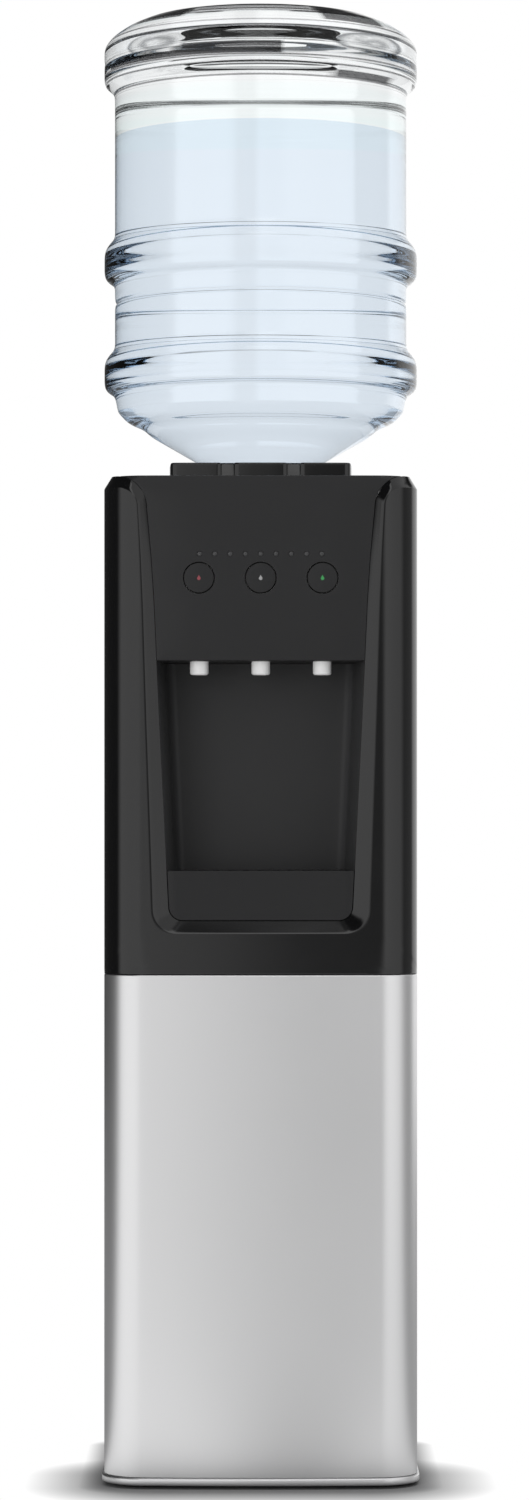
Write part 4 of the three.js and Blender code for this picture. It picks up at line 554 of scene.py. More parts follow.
def cabinet_plan(shrink, back, rounding=2.2):
    """The cabinet's outline in plan, anticlockwise: the front shell, then slightly rounded rear corners."""
    line = front(RUNS, 0.0, shrink)[1:-1, :2]
    side = HALF - shrink
    rear = soften([[side, 0], [side, back], [-side, back], [-side, 0]], rounding, 4)[1:-1]
    return np.concatenate([line, rear])


def front_shell(section):
    """A closed section of shrink and height carried along the front shell, with flat ends."""
    section = np.asarray(section)
    return tube(front(RUNS[:, None], section[None, :, 1], section[None, :, 0]))


lower_section = soften(
    [[0, 9.8], [0, BAND_LOW], [16, BAND_LOW], [16, 436.85], [3, 436.85], [3, 9.8]],
    [0.6, 1.3, 0.5, 0.5, 0.5, 0.5], 5, True,
)
make("lower_front", front_shell(lower_section), silver, "silver_shell", "cabinet", ["lower_front_panel"])


def side_ring(shrink, height, front_fold, rear_fold):
    """Plan of a folded side sheet: the flat side with a fold along its front and rear edges."""
    outer, near, far, wall = HALF - shrink, SEAM_Y + 0.3, 143.0, 1.5
    ring = soften([
        [outer - front_fold, near], [outer, near], [outer, far], [outer - rear_fold, far],
        [outer - rear_fold, far - wall], [outer - wall, far - wall], [outer - wall, near + wall],
        [outer - front_fold, near + wall],
    ], [0.3, 1.8, 1.8, 0.3, 0.3, 0.6, 0.6, 0.3], 5, True)
    return level(ring, height)


def side_panel(rings, sign):
    """Side rings skinned in order, with flat ends, mirrored for the left."""
    return tube(np.stack(rings) * np.array([sign, 1, 1]))


lower_side = [side_ring(0, 9.8, 10, 14), side_ring(0, BAND_LOW, 10, 14)]
fold = soften([[0, 856.8], [0, CHAMFER_Z], [CHAMFER_RUN, TOP]], [0, 0.6, 0], 4)
upper_side = [side_ring(0, BAND_HIGH, 10, 14), side_ring(0, 856.7, 10, 14), side_ring(0, 856.7, 3, 3)]
upper_side += [side_ring(shrink, height, 3, 3) for shrink, height in fold]
for sign, side in ((-1, "left"), (1, "right")):
    make(f"lower_{side}_side", side_panel(lower_side, sign), silver, "silver_shell", "cabinet",
         [f"lower_{side}_side_panel"])
    make(f"upper_{side}_side", side_panel(upper_side, sign), black_shell, "black_shell", "cabinet",
         [f"upper_{side}_side_panel"])

lip = cabinet_plan(-2, 145)
pan = prism(lip, 3, 9.5, edge=1.4)
upstand = cabinet_plan(10.3, 136, 4.0)
wall = [level(inset(upstand, s), z) for s, z in ((0, 9.2), (0, 29.5), (2.5, 29.5), (2.5, 9.2))]
pan += [sheet(np.stack(wall), close_rows=True, close_columns=True)]
for side in (-1, 1):
    pan += box(*sorted((side * 62, side * 78)), 0, 70, 9.2, 19.5, edge=1.0)
make("base", pan, silver, "silver_shell", "cabinet", ["base_pan"])
foot_profile = soften([[0, 0], [14, 0], [14, 2.7], [4, 2.7], [4, 8.4], [0, 8.4]], 0.6, 3)
for name, x, y in (("front_left", -105, -113), ("front_right", 105, -113),
                   ("rear_left", -105, 113), ("rear_right", 105, 113)):
    make(f"foot_{name}_pad", [turned(foot_profile, (x, y, 0), steps=40)], rubber, "black_rubber",
         "cabinet", [f"foot_{name}"])


# ---------------------------------------------------------------- the bevelled opening
def opening_half(edge, grow=0.0, top=None):
    """Half of the opening's edge from the middle of its foot: straight foot, round corner, side that
    widens upwards by shares of its rise, and a flare that turns out to the top."""
    corner, low = edge["corner"] + grow, edge["bottom"] - grow
    flare_z = edge["top"] - edge["flare"]
    rise = flare_z - edge["bottom"]

    def width(z):
        share = np.clip((z - edge["bottom"]) / rise, 0, 1)
        return edge["foot"] + np.interp(share, SIDE_RISE, SIDE_SPREAD) * (edge["head"] - edge["foot"]) + grow

    corner_x = width(low + corner) - corner
    a = np.linspace(-math.pi / 2, 0, 13)
    foot = np.stack([np.linspace(0, corner_x, 13), np.full(13, low)], 1)[:-1]
    arc = np.stack([corner_x + corner * np.cos(a), low + corner + corner * np.sin(a)], 1)
    z = np.linspace(low + corner, top or flare_z, 41)[1:]
    side = np.stack([width(z), z], 1)
    if top:
        return np.concatenate([foot, arc, side])
    b = np.linspace(math.pi, math.pi / 2, 15)[1:]
    flare = edge["flare"] - grow
    turn_out = np.stack([edge["head"] + edge["flare"] + flare * np.cos(b), flare_z + flare * np.sin(b)], 1)
    return np.concatenate([foot, arc, side, turn_out])


def bezel_half():
    """Half of the upper front as rows along the opening and columns across it: return at the back,
    skin from the shell's rim to the crest, bevel down to the inner edge and its return."""
    outer, inner = opening_half(OUTER), opening_half(INNER)
    tail = 12
    crest_run = np.concatenate([run_at(outer[:, 0]), np.linspace(run_at(122.0), END_RUN, tail + 1)[1:]])
    crest_z = np.concatenate([outer[:, 1], np.full(tail, CHAMFER_Z)])
    inner_reach = np.minimum(-PANEL_Y, shell_reach(inner[:, 0], chamfer(inner[:, 1])))
    inner_points = np.stack([inner[:, 0], -inner_reach, inner[:, 1]], 1)
    tail_turn = math.asin((125.9 - CORNER_X) / (CORNER - CHAMFER_RUN))
    tail_run = np.linspace(BOW_RUN + CORNER * (tail_turn - TURN), END_RUN, tail + 1)[1:]
    inner_points = np.concatenate([inner_points, front(tail_run, TOP, CHAMFER_RUN)])
    count, split = len(crest_run), len(outer)
    marks = [0, 12, 18, 24, 64, split - 1, count - 1]
    rim_run = np.interp(np.arange(count), marks, [0, 112, END_RUN, END_RUN, END_RUN, END_RUN, END_RUN])
    rim_z = np.interp(np.arange(count), marks, [BAND_HIGH, BAND_HIGH, BAND_HIGH, 462, 836, 850, CHAMFER_Z])
    low = rim_z <= BAND_HIGH + 1e-6
    fold = np.where(low, 16.0, 3.0)
    lift = np.where(low, 3.0, 0.0)
    columns = [front(rim_run, rim_z + lift, fold), front(rim_run, rim_z, fold), front(rim_run, rim_z, 0.7)]
    columns += [front(rim_run, rim_z + np.where(low, 0.2, 0), 0.2)]
    span = np.hypot(crest_run - rim_run, crest_z - rim_z)
    start = np.where(low, np.minimum(0.7 / np.maximum(span, 1e-6), 0.5), 0)
    end = 1 - np.minimum(0.8 / np.maximum(span, 1e-6), 0.5)
    for t in np.linspace(0, 1, 40):
        share = start + (end - start) * t
        columns.append(front(rim_run + (crest_run - rim_run) * share, rim_z + (crest_z - rim_z) * share))
    crest = front(crest_run, crest_z, 0.22)
    columns.append(crest)
    crest_skin = front(crest_run, crest_z)
    for share in (0.07, 0.3, 0.6, 0.9, 1.0):
        point = crest_skin + (inner_points - crest_skin) * share
        cap_reach = shell_reach(point[:, 0], chamfer(point[:, 2]))
        flat_y = np.maximum(point[:, 1], -cap_reach)
        tail_fix = front(
            crest_run[split:] + (tail_run - crest_run[split:]) * share,
            CHAMFER_Z + (TOP - CHAMFER_Z) * share, CHAMFER_RUN * share,
        )
        point = np.stack([point[:, 0], flat_y, point[:, 2]], 1)
        point[split:] = tail_fix
        if share == 1.0:
            point[:, 1] += 0.12
        columns.append(point)
    back = inner_points + np.array([0, 3.3, 0])
    back[split:] = front(tail_run, TOP, CHAMFER_RUN + 3)
    columns.append(back)
    behind = front(crest_run, np.minimum(crest_z, CHAMFER_Z - 1), 3.6)
    columns.append(behind)
    columns.append(front(rim_run, rim_z + lift, 3.6))
    return np.stack(columns, 1)


half = bezel_half()
bezel = np.concatenate([half[:0:-1] * np.array([-1, 1, 1]), half])
make("upper_front", tube(bezel), black_shell, "black_shell", "cabinet", ["upper_front_bezel"], crease=30)


# ---------------------------------------------------------------- control panel, buttons and windows
def panel_width(z, grow):
    """Half the panel's width at a height: the opening's side, then a quarter circle turning out."""
    line = opening_half(INNER, grow)
    side = np.interp(z, line[24:65, 1], line[24:65, 0])
    radius, middle = INNER["flare"] - grow, INNER["head"] + INNER["flare"]
    rise = np.clip(z - (INNER["top"] - INNER["flare"]), 0, radius * 0.995)
    return np.where(rise > 0, middle - np.sqrt(radius ** 2 - rise ** 2), side)


def panel_edge(grow):
    """Front view of the panel's flat part, of its chamfered strip as a grid, and of its whole rim.
    The strip's rows share their ends with the rim, and its first row with the flat part's top."""
    low, high = HOOD_Z - grow, TOP + grow
    knee = INNER["top"] - INNER["flare"]
    flat_z = np.concatenate([np.linspace(low, knee, 24), np.linspace(knee, CHAMFER_Z, 11)[1:]])
    strip_z = np.linspace(CHAMFER_Z, high, 9)
    share = np.linspace(1, -1, 61)
    right = np.stack([panel_width(flat_z, grow), flat_z], 1)
    strip = np.stack([share * panel_width(strip_z, grow)[:, None], np.repeat(strip_z[:, None], 61, 1)], -1)
    foot = np.linspace(-1, 1, 41)[1:-1, None] * np.array([[right[0, 0], 0]]) + np.array([[0, low]])
    mirror = np.array([-1, 1])
    flat = np.concatenate([right, strip[0, 1:-1], right[::-1] * mirror, foot])
    top = [strip[1:, 0], strip[-1, 1:-1], strip[::-1, -1]]
    rim = np.concatenate([right, *top, right[-2::-1] * mirror, foot])
    return flat, strip, rim


def panel_face(flat, deep=0.0):
    """Front view points laid on the panel's plane, or on the chamfered shell where that lies lower."""
    across, up = flat[..., 0], flat[..., 1]
    reach = np.minimum(-PANEL_Y, shell_reach(across, chamfer(up)))
    return np.stack([across, deep - reach, up], -1)


button_holes = [circle(13.7, x, BUTTON_Z) for x in OUTLETS.values()]
window_x = (np.arange(9) - 4) * 13.1
window_holes = [circle(2.25, x, WINDOW_Z, 20) for x in window_x]
holes = button_holes + window_holes
front_flat, front_strip, front_rim = panel_edge(-0.8)
back_flat, back_strip, back_rim = panel_edge(-3.3)
outer_rim = panel_edge(-0.3)[2]
wall = np.where(outer_rim[:, 1] > CHAMFER_Z - 0.5, 3.2, 5.6)
rims = [panel_face(front_rim), panel_face(panel_edge(-0.45)[2], 0.1), panel_face(outer_rim, 0.45)]
rims += [panel_face(outer_rim, wall), panel_face(back_rim, wall), panel_face(back_rim, 3.0)]
panel = [wrap(*rims), sheet(panel_face(front_strip)), sheet(panel_face(back_strip, 3.0))]
panel += web([front_flat, *holes], upright, PANEL_Y)
panel += web([back_flat, *holes], upright, PANEL_Y + 3)
panel += walls(holes, upright, PANEL_Y, PANEL_Y + 3)
for x in OUTLETS.values():
    sleeve = [[13.7, PANEL_Y + 2.7], [15.5, PANEL_Y + 2.7], [15.5, PANEL_Y + 12], [13.7, PANEL_Y + 12]]
    panel.append(turned(sleeve, (x, 0, BUTTON_Z), "y", 48, True))
make("front_panel", panel, black_panel, "black_panel", "cabinet", ["control_panel"], crease=30)


def drop_mark(name, colour):
    """Gloss black button with a small drop in its middle and a dark ring of painted shade on its rim, where
    it meets the gap round it.
    The drop is a disc whose sides close to a point above it."""
    shade = Shade(f"{name} button")
    x, _, z = shade.apart(shade.place())
    across = (x - OUTLETS[name] * MM) / MM
    up = (z - BUTTON_Z * MM) / MM
    far = (across * across + up * up) ** 0.5
    low = up + 0.5
    disc = 1.0 - ((across * across + low * low) ** 0.5).above(1.5, 0.5)
    lean = across.math("ABSOLUTE") * 1.9 + up
    tip = (1.0 - lean.above(2.4, 0.5)) * up.above(-0.2, 0.3)
    drop = disc.math("MAXIMUM", tip)
    fine = shade.noise(1800, 2.0)
    plain = shade.mix(shade.noise(9.0), (0.013, 0.013, 0.0135), (0.016, 0.016, 0.0165))
    # painted shade: the rounded rim darkens where the button meets its gap
    painted_rim_shade = shade.mix(far.above(12.4, 0.5), plain, (0.002, 0.002, 0.002))
    return shade.surface(
        Base_Color=shade.mix(drop, painted_rim_shade, colour),
        Roughness=fine * 0.05 + 0.375,
        Specular_IOR_Level=0.25,
        Normal=shade.bump(fine + drop * 1.5, 0.05, 0.0002),
    )


marks = {"hot": (0.24, 0.06, 0.07), "ambient": (0.3, 0.3, 0.3), "cold": (0.045, 0.26, 0.08)}
button_profile = soften([
    [0, PANEL_Y + 20], [3, PANEL_Y + 20], [3, PANEL_Y + 4], [11, PANEL_Y + 4], [11, PANEL_Y + 7],
    [13.1, PANEL_Y + 7], [13.1, PANEL_Y], [0, PANEL_Y],
], [0, 0.3, 0.3, 0.3, 0.3, 0.3, 0.8, 0], 5)
for name, x in OUTLETS.items():
    button = turned(button_profile, (x, 0, BUTTON_Z), "y", 96)
    make(f"{name}_push", [button], drop_mark(name, marks[name]), "black_panel", f"{name}_key",
         [f"{name}_button"])

for name, x in OUTLETS.items():
    low, high = [np.array(corner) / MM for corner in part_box(f"{name}_button_spring")]
    share = np.linspace(0, 1, 73)[:, None]
    turn = 6 * math.pi * share
    radial = np.concatenate([np.cos(turn), 0 * turn, np.sin(turn)], 1)
    length = high[1] - low[1]
    spine = np.array([x, low[1] + 0.5, BUTTON_Z]) + 7 * radial + share * np.array([0, length - 1, 0])
    heading = np.gradient(spine, axis=0)
    heading /= np.linalg.norm(heading, axis=1, keepdims=True)
    side = np.cross(heading, radial)
    a = np.linspace(0, 2 * math.pi, 8, endpoint=False)[None, :, None]
    coil = spine[:, None] + 0.5 * (radial[:, None] * np.cos(a) + side[:, None] * np.sin(a))
    spring = make(f"{name}_return_spring", tube(coil), sheet_steel, "sheet_steel", "cabinet",
                  [f"{name}_button_spring"])
    fixed_end = (x * MM, high[1] * MM, BUTTON_Z * MM)
    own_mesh(spring)

boss = soften([[0, -128.9], [1.95, -128.9], [1.95, PANEL_Y + 0.2], [0, PANEL_Y + 0.2]], [0, 0.2, 0.4, 0], 3)
guide = [turned(boss, (x, 0, WINDOW_Z), "y", 24) for x in window_x]
guide += box(-58.4, 58.4, -131.0, -128.9, 796.1, 805.1)
make("windows", guide, window_grey, "window_grey", "cabinet", ["light_guide"])


# ---------------------------------------------------------------- alcove, tray and outlets
def liner_ring(grow, top):
    """The opening's U outline, from the top of one side round to the other, moved by grow."""
    line = opening_half(INNER, grow, top)
    return np.concatenate([line[:0:-1] * np.array([-1, 1]), line])


def basin(near, far, narrow, top, round_off, thick, grow):
    """Walls that narrow towards the back and turn into the back plate along a quarter circle, with an
    outer skin one wall away, both as rings round the same outline. Each back plate is a grid whose rows
    join the outline's two sides at one height."""
    straight = np.linspace(near, far - round_off, 10)
    a = np.linspace(0, math.pi / 2, 9)[1:]
    depth_in = np.concatenate([straight, far - round_off + round_off * np.sin(a)])
    depth_out = np.concatenate([straight, far - round_off + (round_off + thick) * np.sin(a)])
    draw_in = np.concatenate([np.zeros(10), round_off * (1 - np.cos(a))])
    draw_out = np.concatenate([np.full(10, -thick), round_off - (round_off + thick) * np.cos(a)])
    width = 1 + (narrow - 1) * (depth_in - near) / (far - near)
    skins = [[upright(liner_ring(grow - s, top) * np.array([w, 1]), y)
              for y, s, w in zip(depth, drawn, width)]
             for depth, drawn in ((depth_in, draw_in), (depth_out, draw_out))]
    rings = np.stack([np.concatenate([inside, outside[::-1]]) for inside, outside in zip(*skins)])
    across = np.stack([np.linspace(-1, 1, 25), np.ones(25), np.ones(25)], 1)
    plates = [skin[-1][76:, None] * across for skin in skins]
    lid = np.stack([plate[-1] for plate in plates])
    return [sheet(rings, close_columns=True), cap(rings[0]), *[sheet(plate) for plate in plates], sheet(lid)]


liner = basin(-130.7, -44, 0.9, HOOD_Z + 2, 8.0, 2.0, 0.5)
side_x = opening_half(INNER, 0.5, HOOD_Z + 2)[-1, 0] + 2
ceiling = np.array([[-side_x, -128.4], [side_x, -128.4], [side_x * 0.9, -42], [-side_x * 0.9, -42]])
ceiling_holes = [circle(8.3, x, OUTLET_Y, 40) for x in OUTLETS.values()]
liner += pierced_plate([ceiling, *ceiling_holes], level, HOOD_Z, HOOD_Z + 2)
make("alcove", liner, alcove_black, "alcove_black", "cabinet", ["alcove_liner"])

tray_top = 529.0
fascia = opening_half(INNER, -0.5, tray_top)
turn_in = soften([fascia[-5], fascia[-1], [0, tray_top]], 1.2, 4)[1:-1]
fascia = np.concatenate([fascia[:-4], turn_in])
rows = len(fascia)
edge_top = np.linspace(1, -1, 25)[1:-1, None] * fascia[-1] * np.array([1, 0]) + np.array([0, tray_top])
fascia = np.concatenate([fascia, edge_top, fascia[:0:-1] * np.array([-1, 1])])


def fascia_face(loop):
    """A grid whose rows join the fascia's two sides, with its foot and its top as first and last row."""
    right = np.arange(12, rows)
    t = np.linspace(0, 1, 25)[:, None]
    grid = loop[-right][:, None] * (1 - t) + loop[right][:, None] * t
    grid[0] = np.concatenate([loop[-12:], loop[:13]])
    grid[-1] = loop[rows - 1:rows + 24][::-1]
    return sheet(grid)


tray = prism(fascia, PANEL_Y, PANEL_Y + 3.4, upright, 0.8, fascia_face)
tray += basin(PANEL_Y + 3.4, -54.8, 0.912, tray_top - 0.1, 4.0, 2.5, -3.0)
make("tray", tray, tray_black, "black_shell", "tray", ["drip_tray"])

half_width = opening_half(INNER, -2.0, 528)[-1, 0]
near_half, far_half = half_width * 0.995, half_width * 0.909
plate = soften([[-near_half, -130.4], [near_half, -130.4], [far_half, -53.8], [-far_half, -53.8]],
               2.5, 5, True)
plate_rim, plate_low, plate_high = inset(plate, 0.5), 525.5, 528.5
slots = []
for x in np.arange(-4, 5) * 13.0:
    for low, high in ((-122.1, -94.1), (-89.1, -61.1)):
        corners = [[x - 2.5, low], [x + 2.5, low], [x + 2.5, high], [x - 2.5, high]]
        slots.append(soften(corners, 2.2, 5, True))
slot_rims = [inset(slot, -0.4) for slot in slots]
grille = [wrap(level(plate_rim, plate_low), level(plate, plate_low + 0.5), level(plate, plate_high - 0.5),
               level(plate_rim, plate_high))]
grille += [wrap(level(slot, plate_low), level(slot, plate_high - 0.5), level(rim, plate_high))
           for slot, rim in zip(slots, slot_rims)]
grille += web([plate_rim, *slot_rims], level, plate_high)
grille += web([plate_rim, *slots], level, plate_low)
make("grille_plate", grille, tray_black, "black_panel", "grille", ["drip_grille"])

nozzle = soften([[5.5, 697.4], [6.8, 697.4], [8, 698.6], [8, 711.2], [11, 711.2], [11, 713.2], [5.5, 713.2]],
                0.5, 3, True)
for name, x in OUTLETS.items():
    make(f"{name}_outlet", [turned(nozzle, (x, OUTLET_Y, 0), closed=True)], white_plastic,
         "white_plastic", "cabinet", [f"{name}_nozzle"])


# ---------------------------------------------------------------- top cover and bottle seat
cover_plan = cabinet_plan(9.8, 141.2, 3.2)
cover_plan[:, 1] = np.maximum(cover_plan[:, 1], -128.4)
cover_hole = circle(36, steps=96)
cover_rows = [(0.5, TOP), (0.15, 867.85), (0, 867.5), (0, 857), (2, 857), (2, 865)]
cover = [wrap(*[level(inset(cover_plan, shrink), z) for shrink, z in cover_rows])]
cover += web([inset(cover_plan, 0.5), cover_hole], level, TOP)
cover += web([inset(cover_plan, 2), cover_hole], level, 865)
cover += walls([cover_hole], level, TOP, 865)
make("cover", cover, black_shell, "black_shell", "cabinet", ["top_cover"])


def seat_plan(recess):
    """The seat's square plan: three blocks a side, parted by two recesses of one depth. Each side bows
    by a circle's sagitta, and each block's ends turn back a little."""
    points, rounding = [], []
    for low, high in ((-77.0, -34.3), (-23.0, 23.0), (34.3, 77.0)):
        x = np.array([low, low, low + 3.2, (low + high) / 2, high - 3.2, high, high])
        back = np.array([recess, 1.1, 0, 0, 0, 1.1, recess])
        block = np.stack([x, x ** 2 / 2800 + back - 80.3], 1)
        soft = np.array([0.5, 1.0, 1.0, 20, 1.0, 1.0, 0.5])
        if low == -77.0:
            block, soft = block[1:], soft[1:]
            block[0], soft[0] = [-77, -77], 2.0
        if high == 77.0:
            block, soft = block[:-2], soft[:-2]
        points.append(block)
        rounding.append(soft)
    side, soft = np.concatenate(points), np.concatenate(rounding)
    turns = [side @ np.array([[math.cos(t), math.sin(t)], [-math.sin(t), math.cos(t)]])
             for t in (0, math.pi / 2, math.pi, 3 * math.pi / 2)]
    return soften(np.concatenate(turns), np.tile(soft, 4), 4, True)


# The recesses deepen upwards. The well's funnel starts at the rim in the seat's top.
seat_low, seat_top, rim_radius, well_radius = 868.3, 883, 47.6, 34.5
seat_rows = [(seat_low, 0), (875, 0), (881.6, 0), (882.2, 0.12), (882.75, 0.45), (seat_top, 1.0)]
collar_rings = [inset(seat_plan(1.6 + (z - seat_low) / 14.7 * 2.9), shrink) for z, shrink in seat_rows]
seat = [wrap(*[level(ring, z) for ring, (z, _) in zip(collar_rings, seat_rows)])]
seat += web([collar_rings[-1], circle(rim_radius, steps=96)], level, seat_top)
seat += web([collar_rings[0], circle(well_radius, steps=96)], level, seat_low)
well = [[rim_radius, seat_top], [32, 873.95], [32, 803], [5.5, 803], [5.5, 800], [well_radius, 800],
        [well_radius, seat_low]]
seat += [turned(well, steps=96)]
make("seat", seat, seat_black, "black_shell", "cabinet", ["bottle_seat"])


# ---------------------------------------------------------------- bottle and water
def bottle_profile():
    """Radius and height of the bottle's wall from its mouth up: neck, cone, shoulder, two swollen
    rings, the body between them, the broad rim and the hollow base."""
    def ring(base):
        rise = np.array([0, 0.09, 0.2, 0.67, 0.82, 1]) * 40.7
        swell = np.array([0, 0.7, 1, 1, 0.72, 0]) * 9.3
        return np.stack([129.1 + swell, base + rise], 1)

    shoulder = np.stack([
        97.2 + 29.5 * np.array([0.24, 0.69, 0.93]),
        912.1 + 22.3 * np.array([0.29, 0.54, 0.87]),
    ], 1)
    rim = np.stack([
        138.4 * np.array([0.933, 0.961, 1, 1, 0.952, 0.865, 0.759, 0.73]),
        1213.7 + 64.3 * np.array([0, 0.08, 0.143, 0.633, 0.76, 0.888, 0.985, 1]),
    ], 1)
    groove = np.array([[129.1, 1026.6], [127.2, 1028.4], [127.2, 1029.6], [129.1, 1031.4]])
    rim_groove = np.array([[138.4, 1239.5], [137.3, 1241], [138.4, 1242.5]])
    rows = [[[27.5, 812], [27.5, 871.7], [97.2, 912.1]], shoulder, [[126.7, 934.4]], ring(947.6), groove,
            ring(1045.5), rim[:3], rim_groove, rim[3:], [[68, 1278], [50, 1270], [34, 1268.2], [0, 1268]]]
    return np.concatenate([np.asarray(row, float) for row in rows])


outer_wall = soften(bottle_profile(), 6.0, 6)
slope = np.gradient(outer_wall, axis=0)
slope /= np.maximum(np.linalg.norm(slope, axis=1, keepdims=True), 1e-9)
normal = np.stack([-slope[:, 1], slope[:, 0]], 1)
thick = np.interp(outer_wall[:, 1:], [872, 873, 1208, 1226, 1262, 1272], [2.5, 1.8, 1.8, 8.5, 8.5, 5])
inner_wall = outer_wall + normal * thick
inner_wall[:, 0] = np.maximum(inner_wall[:, 0], 0)
inner_wall[-1, 0] = 0
inner_wall[0, 1] = outer_wall[0, 1]
shell = np.concatenate([outer_wall, inner_wall[::-1]])
mouth = np.stack([outer_wall[0], inner_wall[0]])
bottle = make("clear_bottle", [turned(shell, steps=192), turned(mouth, steps=192)], bottle_clear,
              "bottle_clear", "bottle_load", ["bottle"], crease=60, weld=0.02)

# The faces of the wall's inside, those well within the outer skin and under the base, bend no light
bottle.data.materials.append(bottle_inside)
middles = np.zeros(len(bottle.data.polygons) * 3)
bottle.data.polygons.foreach_get("center", middles)
middles = middles.reshape(-1, 3) / MM
order = np.argsort(outer_wall[:, 1], kind="stable")
far_out = np.hypot(middles[:, 0], middles[:, 1])
skin = np.interp(middles[:, 2], outer_wall[order, 1], outer_wall[order, 0])
inside = (middles[:, 2] < 1266) & ((far_out < skin - 0.9) | (far_out < 20))
bottle.data.polygons.foreach_set("material_index", inside.astype(np.int32))

gap_wall = outer_wall + normal * (thick + 0.3)
water_low, water_top = 855, 1175
body = gap_wall[(gap_wall[:, 1] > water_low + 1) & (gap_wall[:, 1] < water_top - 1)]
edge_x = body[-1, 0]
water = np.concatenate([
    [[0, water_low], [gap_wall[0, 0], water_low]], body,
    [[edge_x, 1174.4], [edge_x - 0.8, water_top], [0, water_top]],
])
make("bottle_water", [turned(water, steps=192)], water_clear, "water_clear", "bottle_load", ["water"],
     crease=60)
cap_profile = soften([[10, 809.7], [30.5, 809.7], [30.5, 829.7], [27.8, 829.7], [27.8, 811.7], [10, 811.7]],
                     0.6, 3, True)
make("neck_cap", [turned(cap_profile, steps=96, closed=True)], cap_blue, "cap_blue", "bottle_load",
     ["bottle_cap"])


# ---------------------------------------------------------------- the back
def folded_plate():
    """The back plate with the openings that parts pass through, and its two side flanges."""
    outline = np.array([[-133.2, 424.7], [133.2, 424.7], [133.2, 856.7], [-133.2, 856.7]])
    openings = [circle(6.3, 116, 485, 32), circle(6.8, -108, 452, 32)]
    for x in (-24, 24):
        openings.append(np.array([[x - 6.8, 648.7], [x + 6.8, 648.7], [x + 6.8, 671.3], [x - 6.8, 671.3]]))
    parts = pierced_plate([outline, *openings], upright, BACK_Y, BACK_Y + 1.5)
    for side in (-1, 1):
        parts += box(*sorted((side * 131.7, side * 133.2)), BACK_Y, 125, 424.7, 856.7, edge=0.4)
    return parts


make("rear_sheet", folded_plate(), sheet_steel, "sheet_steel", "cabinet", ["back_panel"])

runs = []
for row in range(7):
    side = 1 if row % 2 == 0 else -1
    runs += [[-side * 80, 127, 150 + row * 64], [side * 80, 127, 150 + row * 64]]
runs[0][0], runs[-1][0] = -85, 85
grid_parts = pipe(runs, 2.8, 31.7, 14, 14)
for spot, x in enumerate(np.linspace(-48, 48, 49)):
    y = 127 + (1 if spot % 2 else -1) * 3.0
    grid_parts += pipe([[x, y, 138], [x, y, 546]], 0.7, 1, 6)
for side in (-1, 1):
    grid_parts += box(side * 48 - 5, side * 48 + 5, 114.8, 127, 543, 546)
make("condenser_grid", grid_parts, compressor_black, "compressor_black", "cabinet", ["condenser"])

pot = soften([
    [0, 21.3], [51, 21.3], [55, 34.8], [55, 94.3], [58, 94.3], [58, 100.3], [55, 100.3], [51.2, 134.6],
    [30.2, 152.8], [0, 152.8],
], [0, 5, 8, 1, 1, 1, 1, 18, 20, 0], 6)
pump = [turned(pot, (0, 35, 0), steps=96)]
foot = soften([[-78, 0], [78, 0], [78, 70], [-78, 70]], 9, 6, True)
pump += prism(foot, 19.8, 22.8, edge=0.6)
grommet = soften([[0, 22.5], [9, 22.5], [9, 25], [7, 26.5], [9, 28], [9, 31.8], [4, 31.8], [4, 33], [0, 33]],
                 0.6, 3)
pump += [turned(grommet, (x, y, 0), steps=32) for x in (-69, 69) for y in (9, 61)]
stub = soften([[0, 120.3], [6, 120.3], [6, 160.8], [0, 160.8]], 0.6, 3)
pump += [turned(stub, (x, 35, 0), steps=32) for x in (-32, 32)]
make("pump", pump, compressor_black, "compressor_black", "cabinet", ["compressor"])

# Line, its route, radius, the bends' radius, sides and the CAD piece it dresses
for name, route, radius, bend, sides, node in (
    ("discharge", [[32, 35, 161.1], [32, 35, 185], [98, 35, 185], [98, 127, 185], [98, 127, 534],
                   [85.3, 127, 534]], 4, 8, 16, "discharge_pipe"),
    ("suction", [[-32, 35, 161.1], [-32, 35, 185], [-115, 35, 185], [-115, 95, 185], [-115, 95, 745],
                 [-115, 12, 745], [-80.3, 12, 745]], 4, 12, 16, "suction_pipe"),
    ("capillary", [[-85.3, 127, 150], [-98, 127, 150], [-98, 104, 150], [-98, 104, 775], [-98, 30, 775],
                   [-78.3, 30, 775]], 2, 8, 12, "capillary_tube"),
):
    make(f"{name}_line", pipe(route, radius, bend, sides), copper, "copper", "cabinet", [node])
drain_x, drain_z = 116, 485.3
spout = pipe([[48.3, 40, drain_z], [drain_x, 40, drain_z], [drain_x, 134.5, drain_z]], 6, 14, 24)
make("drain_pipe", spout, white_plastic, "white_plastic", "cabinet", ["drain_spout"])
stopper = soften([[0, 136.8], [8.3, 136.8], [8.3, 122.8], [6.3, 122.8], [6.3, 134.8], [0, 134.8]],
                 [0, 1, 0.4, 0.4, 0.4, 0], 3)
make("drain_stopper", [turned(stopper, (drain_x, 0, drain_z), "y", 40)], rubber, "black_rubber", "cabinet",
     ["drain_cap"])


def switch_frame(x, z):
    """Rounded rectangles of one point count skinned in order: body, flange, its rim, pocket and floor."""
    rings = []
    for half_x, half_z, y, rounding in (
        (6.5, 11, 97.8, 1.0), (6.5, 11, 114.8, 1.0), (8.5, 13, 114.8, 1.5), (8.5, 13, 116.2, 1.5),
        (8.1, 12.6, 116.6, 1.2), (5.3, 9.3, 116.6, 0.8), (5.3, 9.3, 111, 0.8),
    ):
        corners = [[-half_x, -half_z], [half_x, -half_z], [half_x, half_z], [-half_x, half_z]]
        rings.append(upright(soften(corners, rounding, 4, True) + np.array([x, z]), y))
    return tube(np.stack(rings))


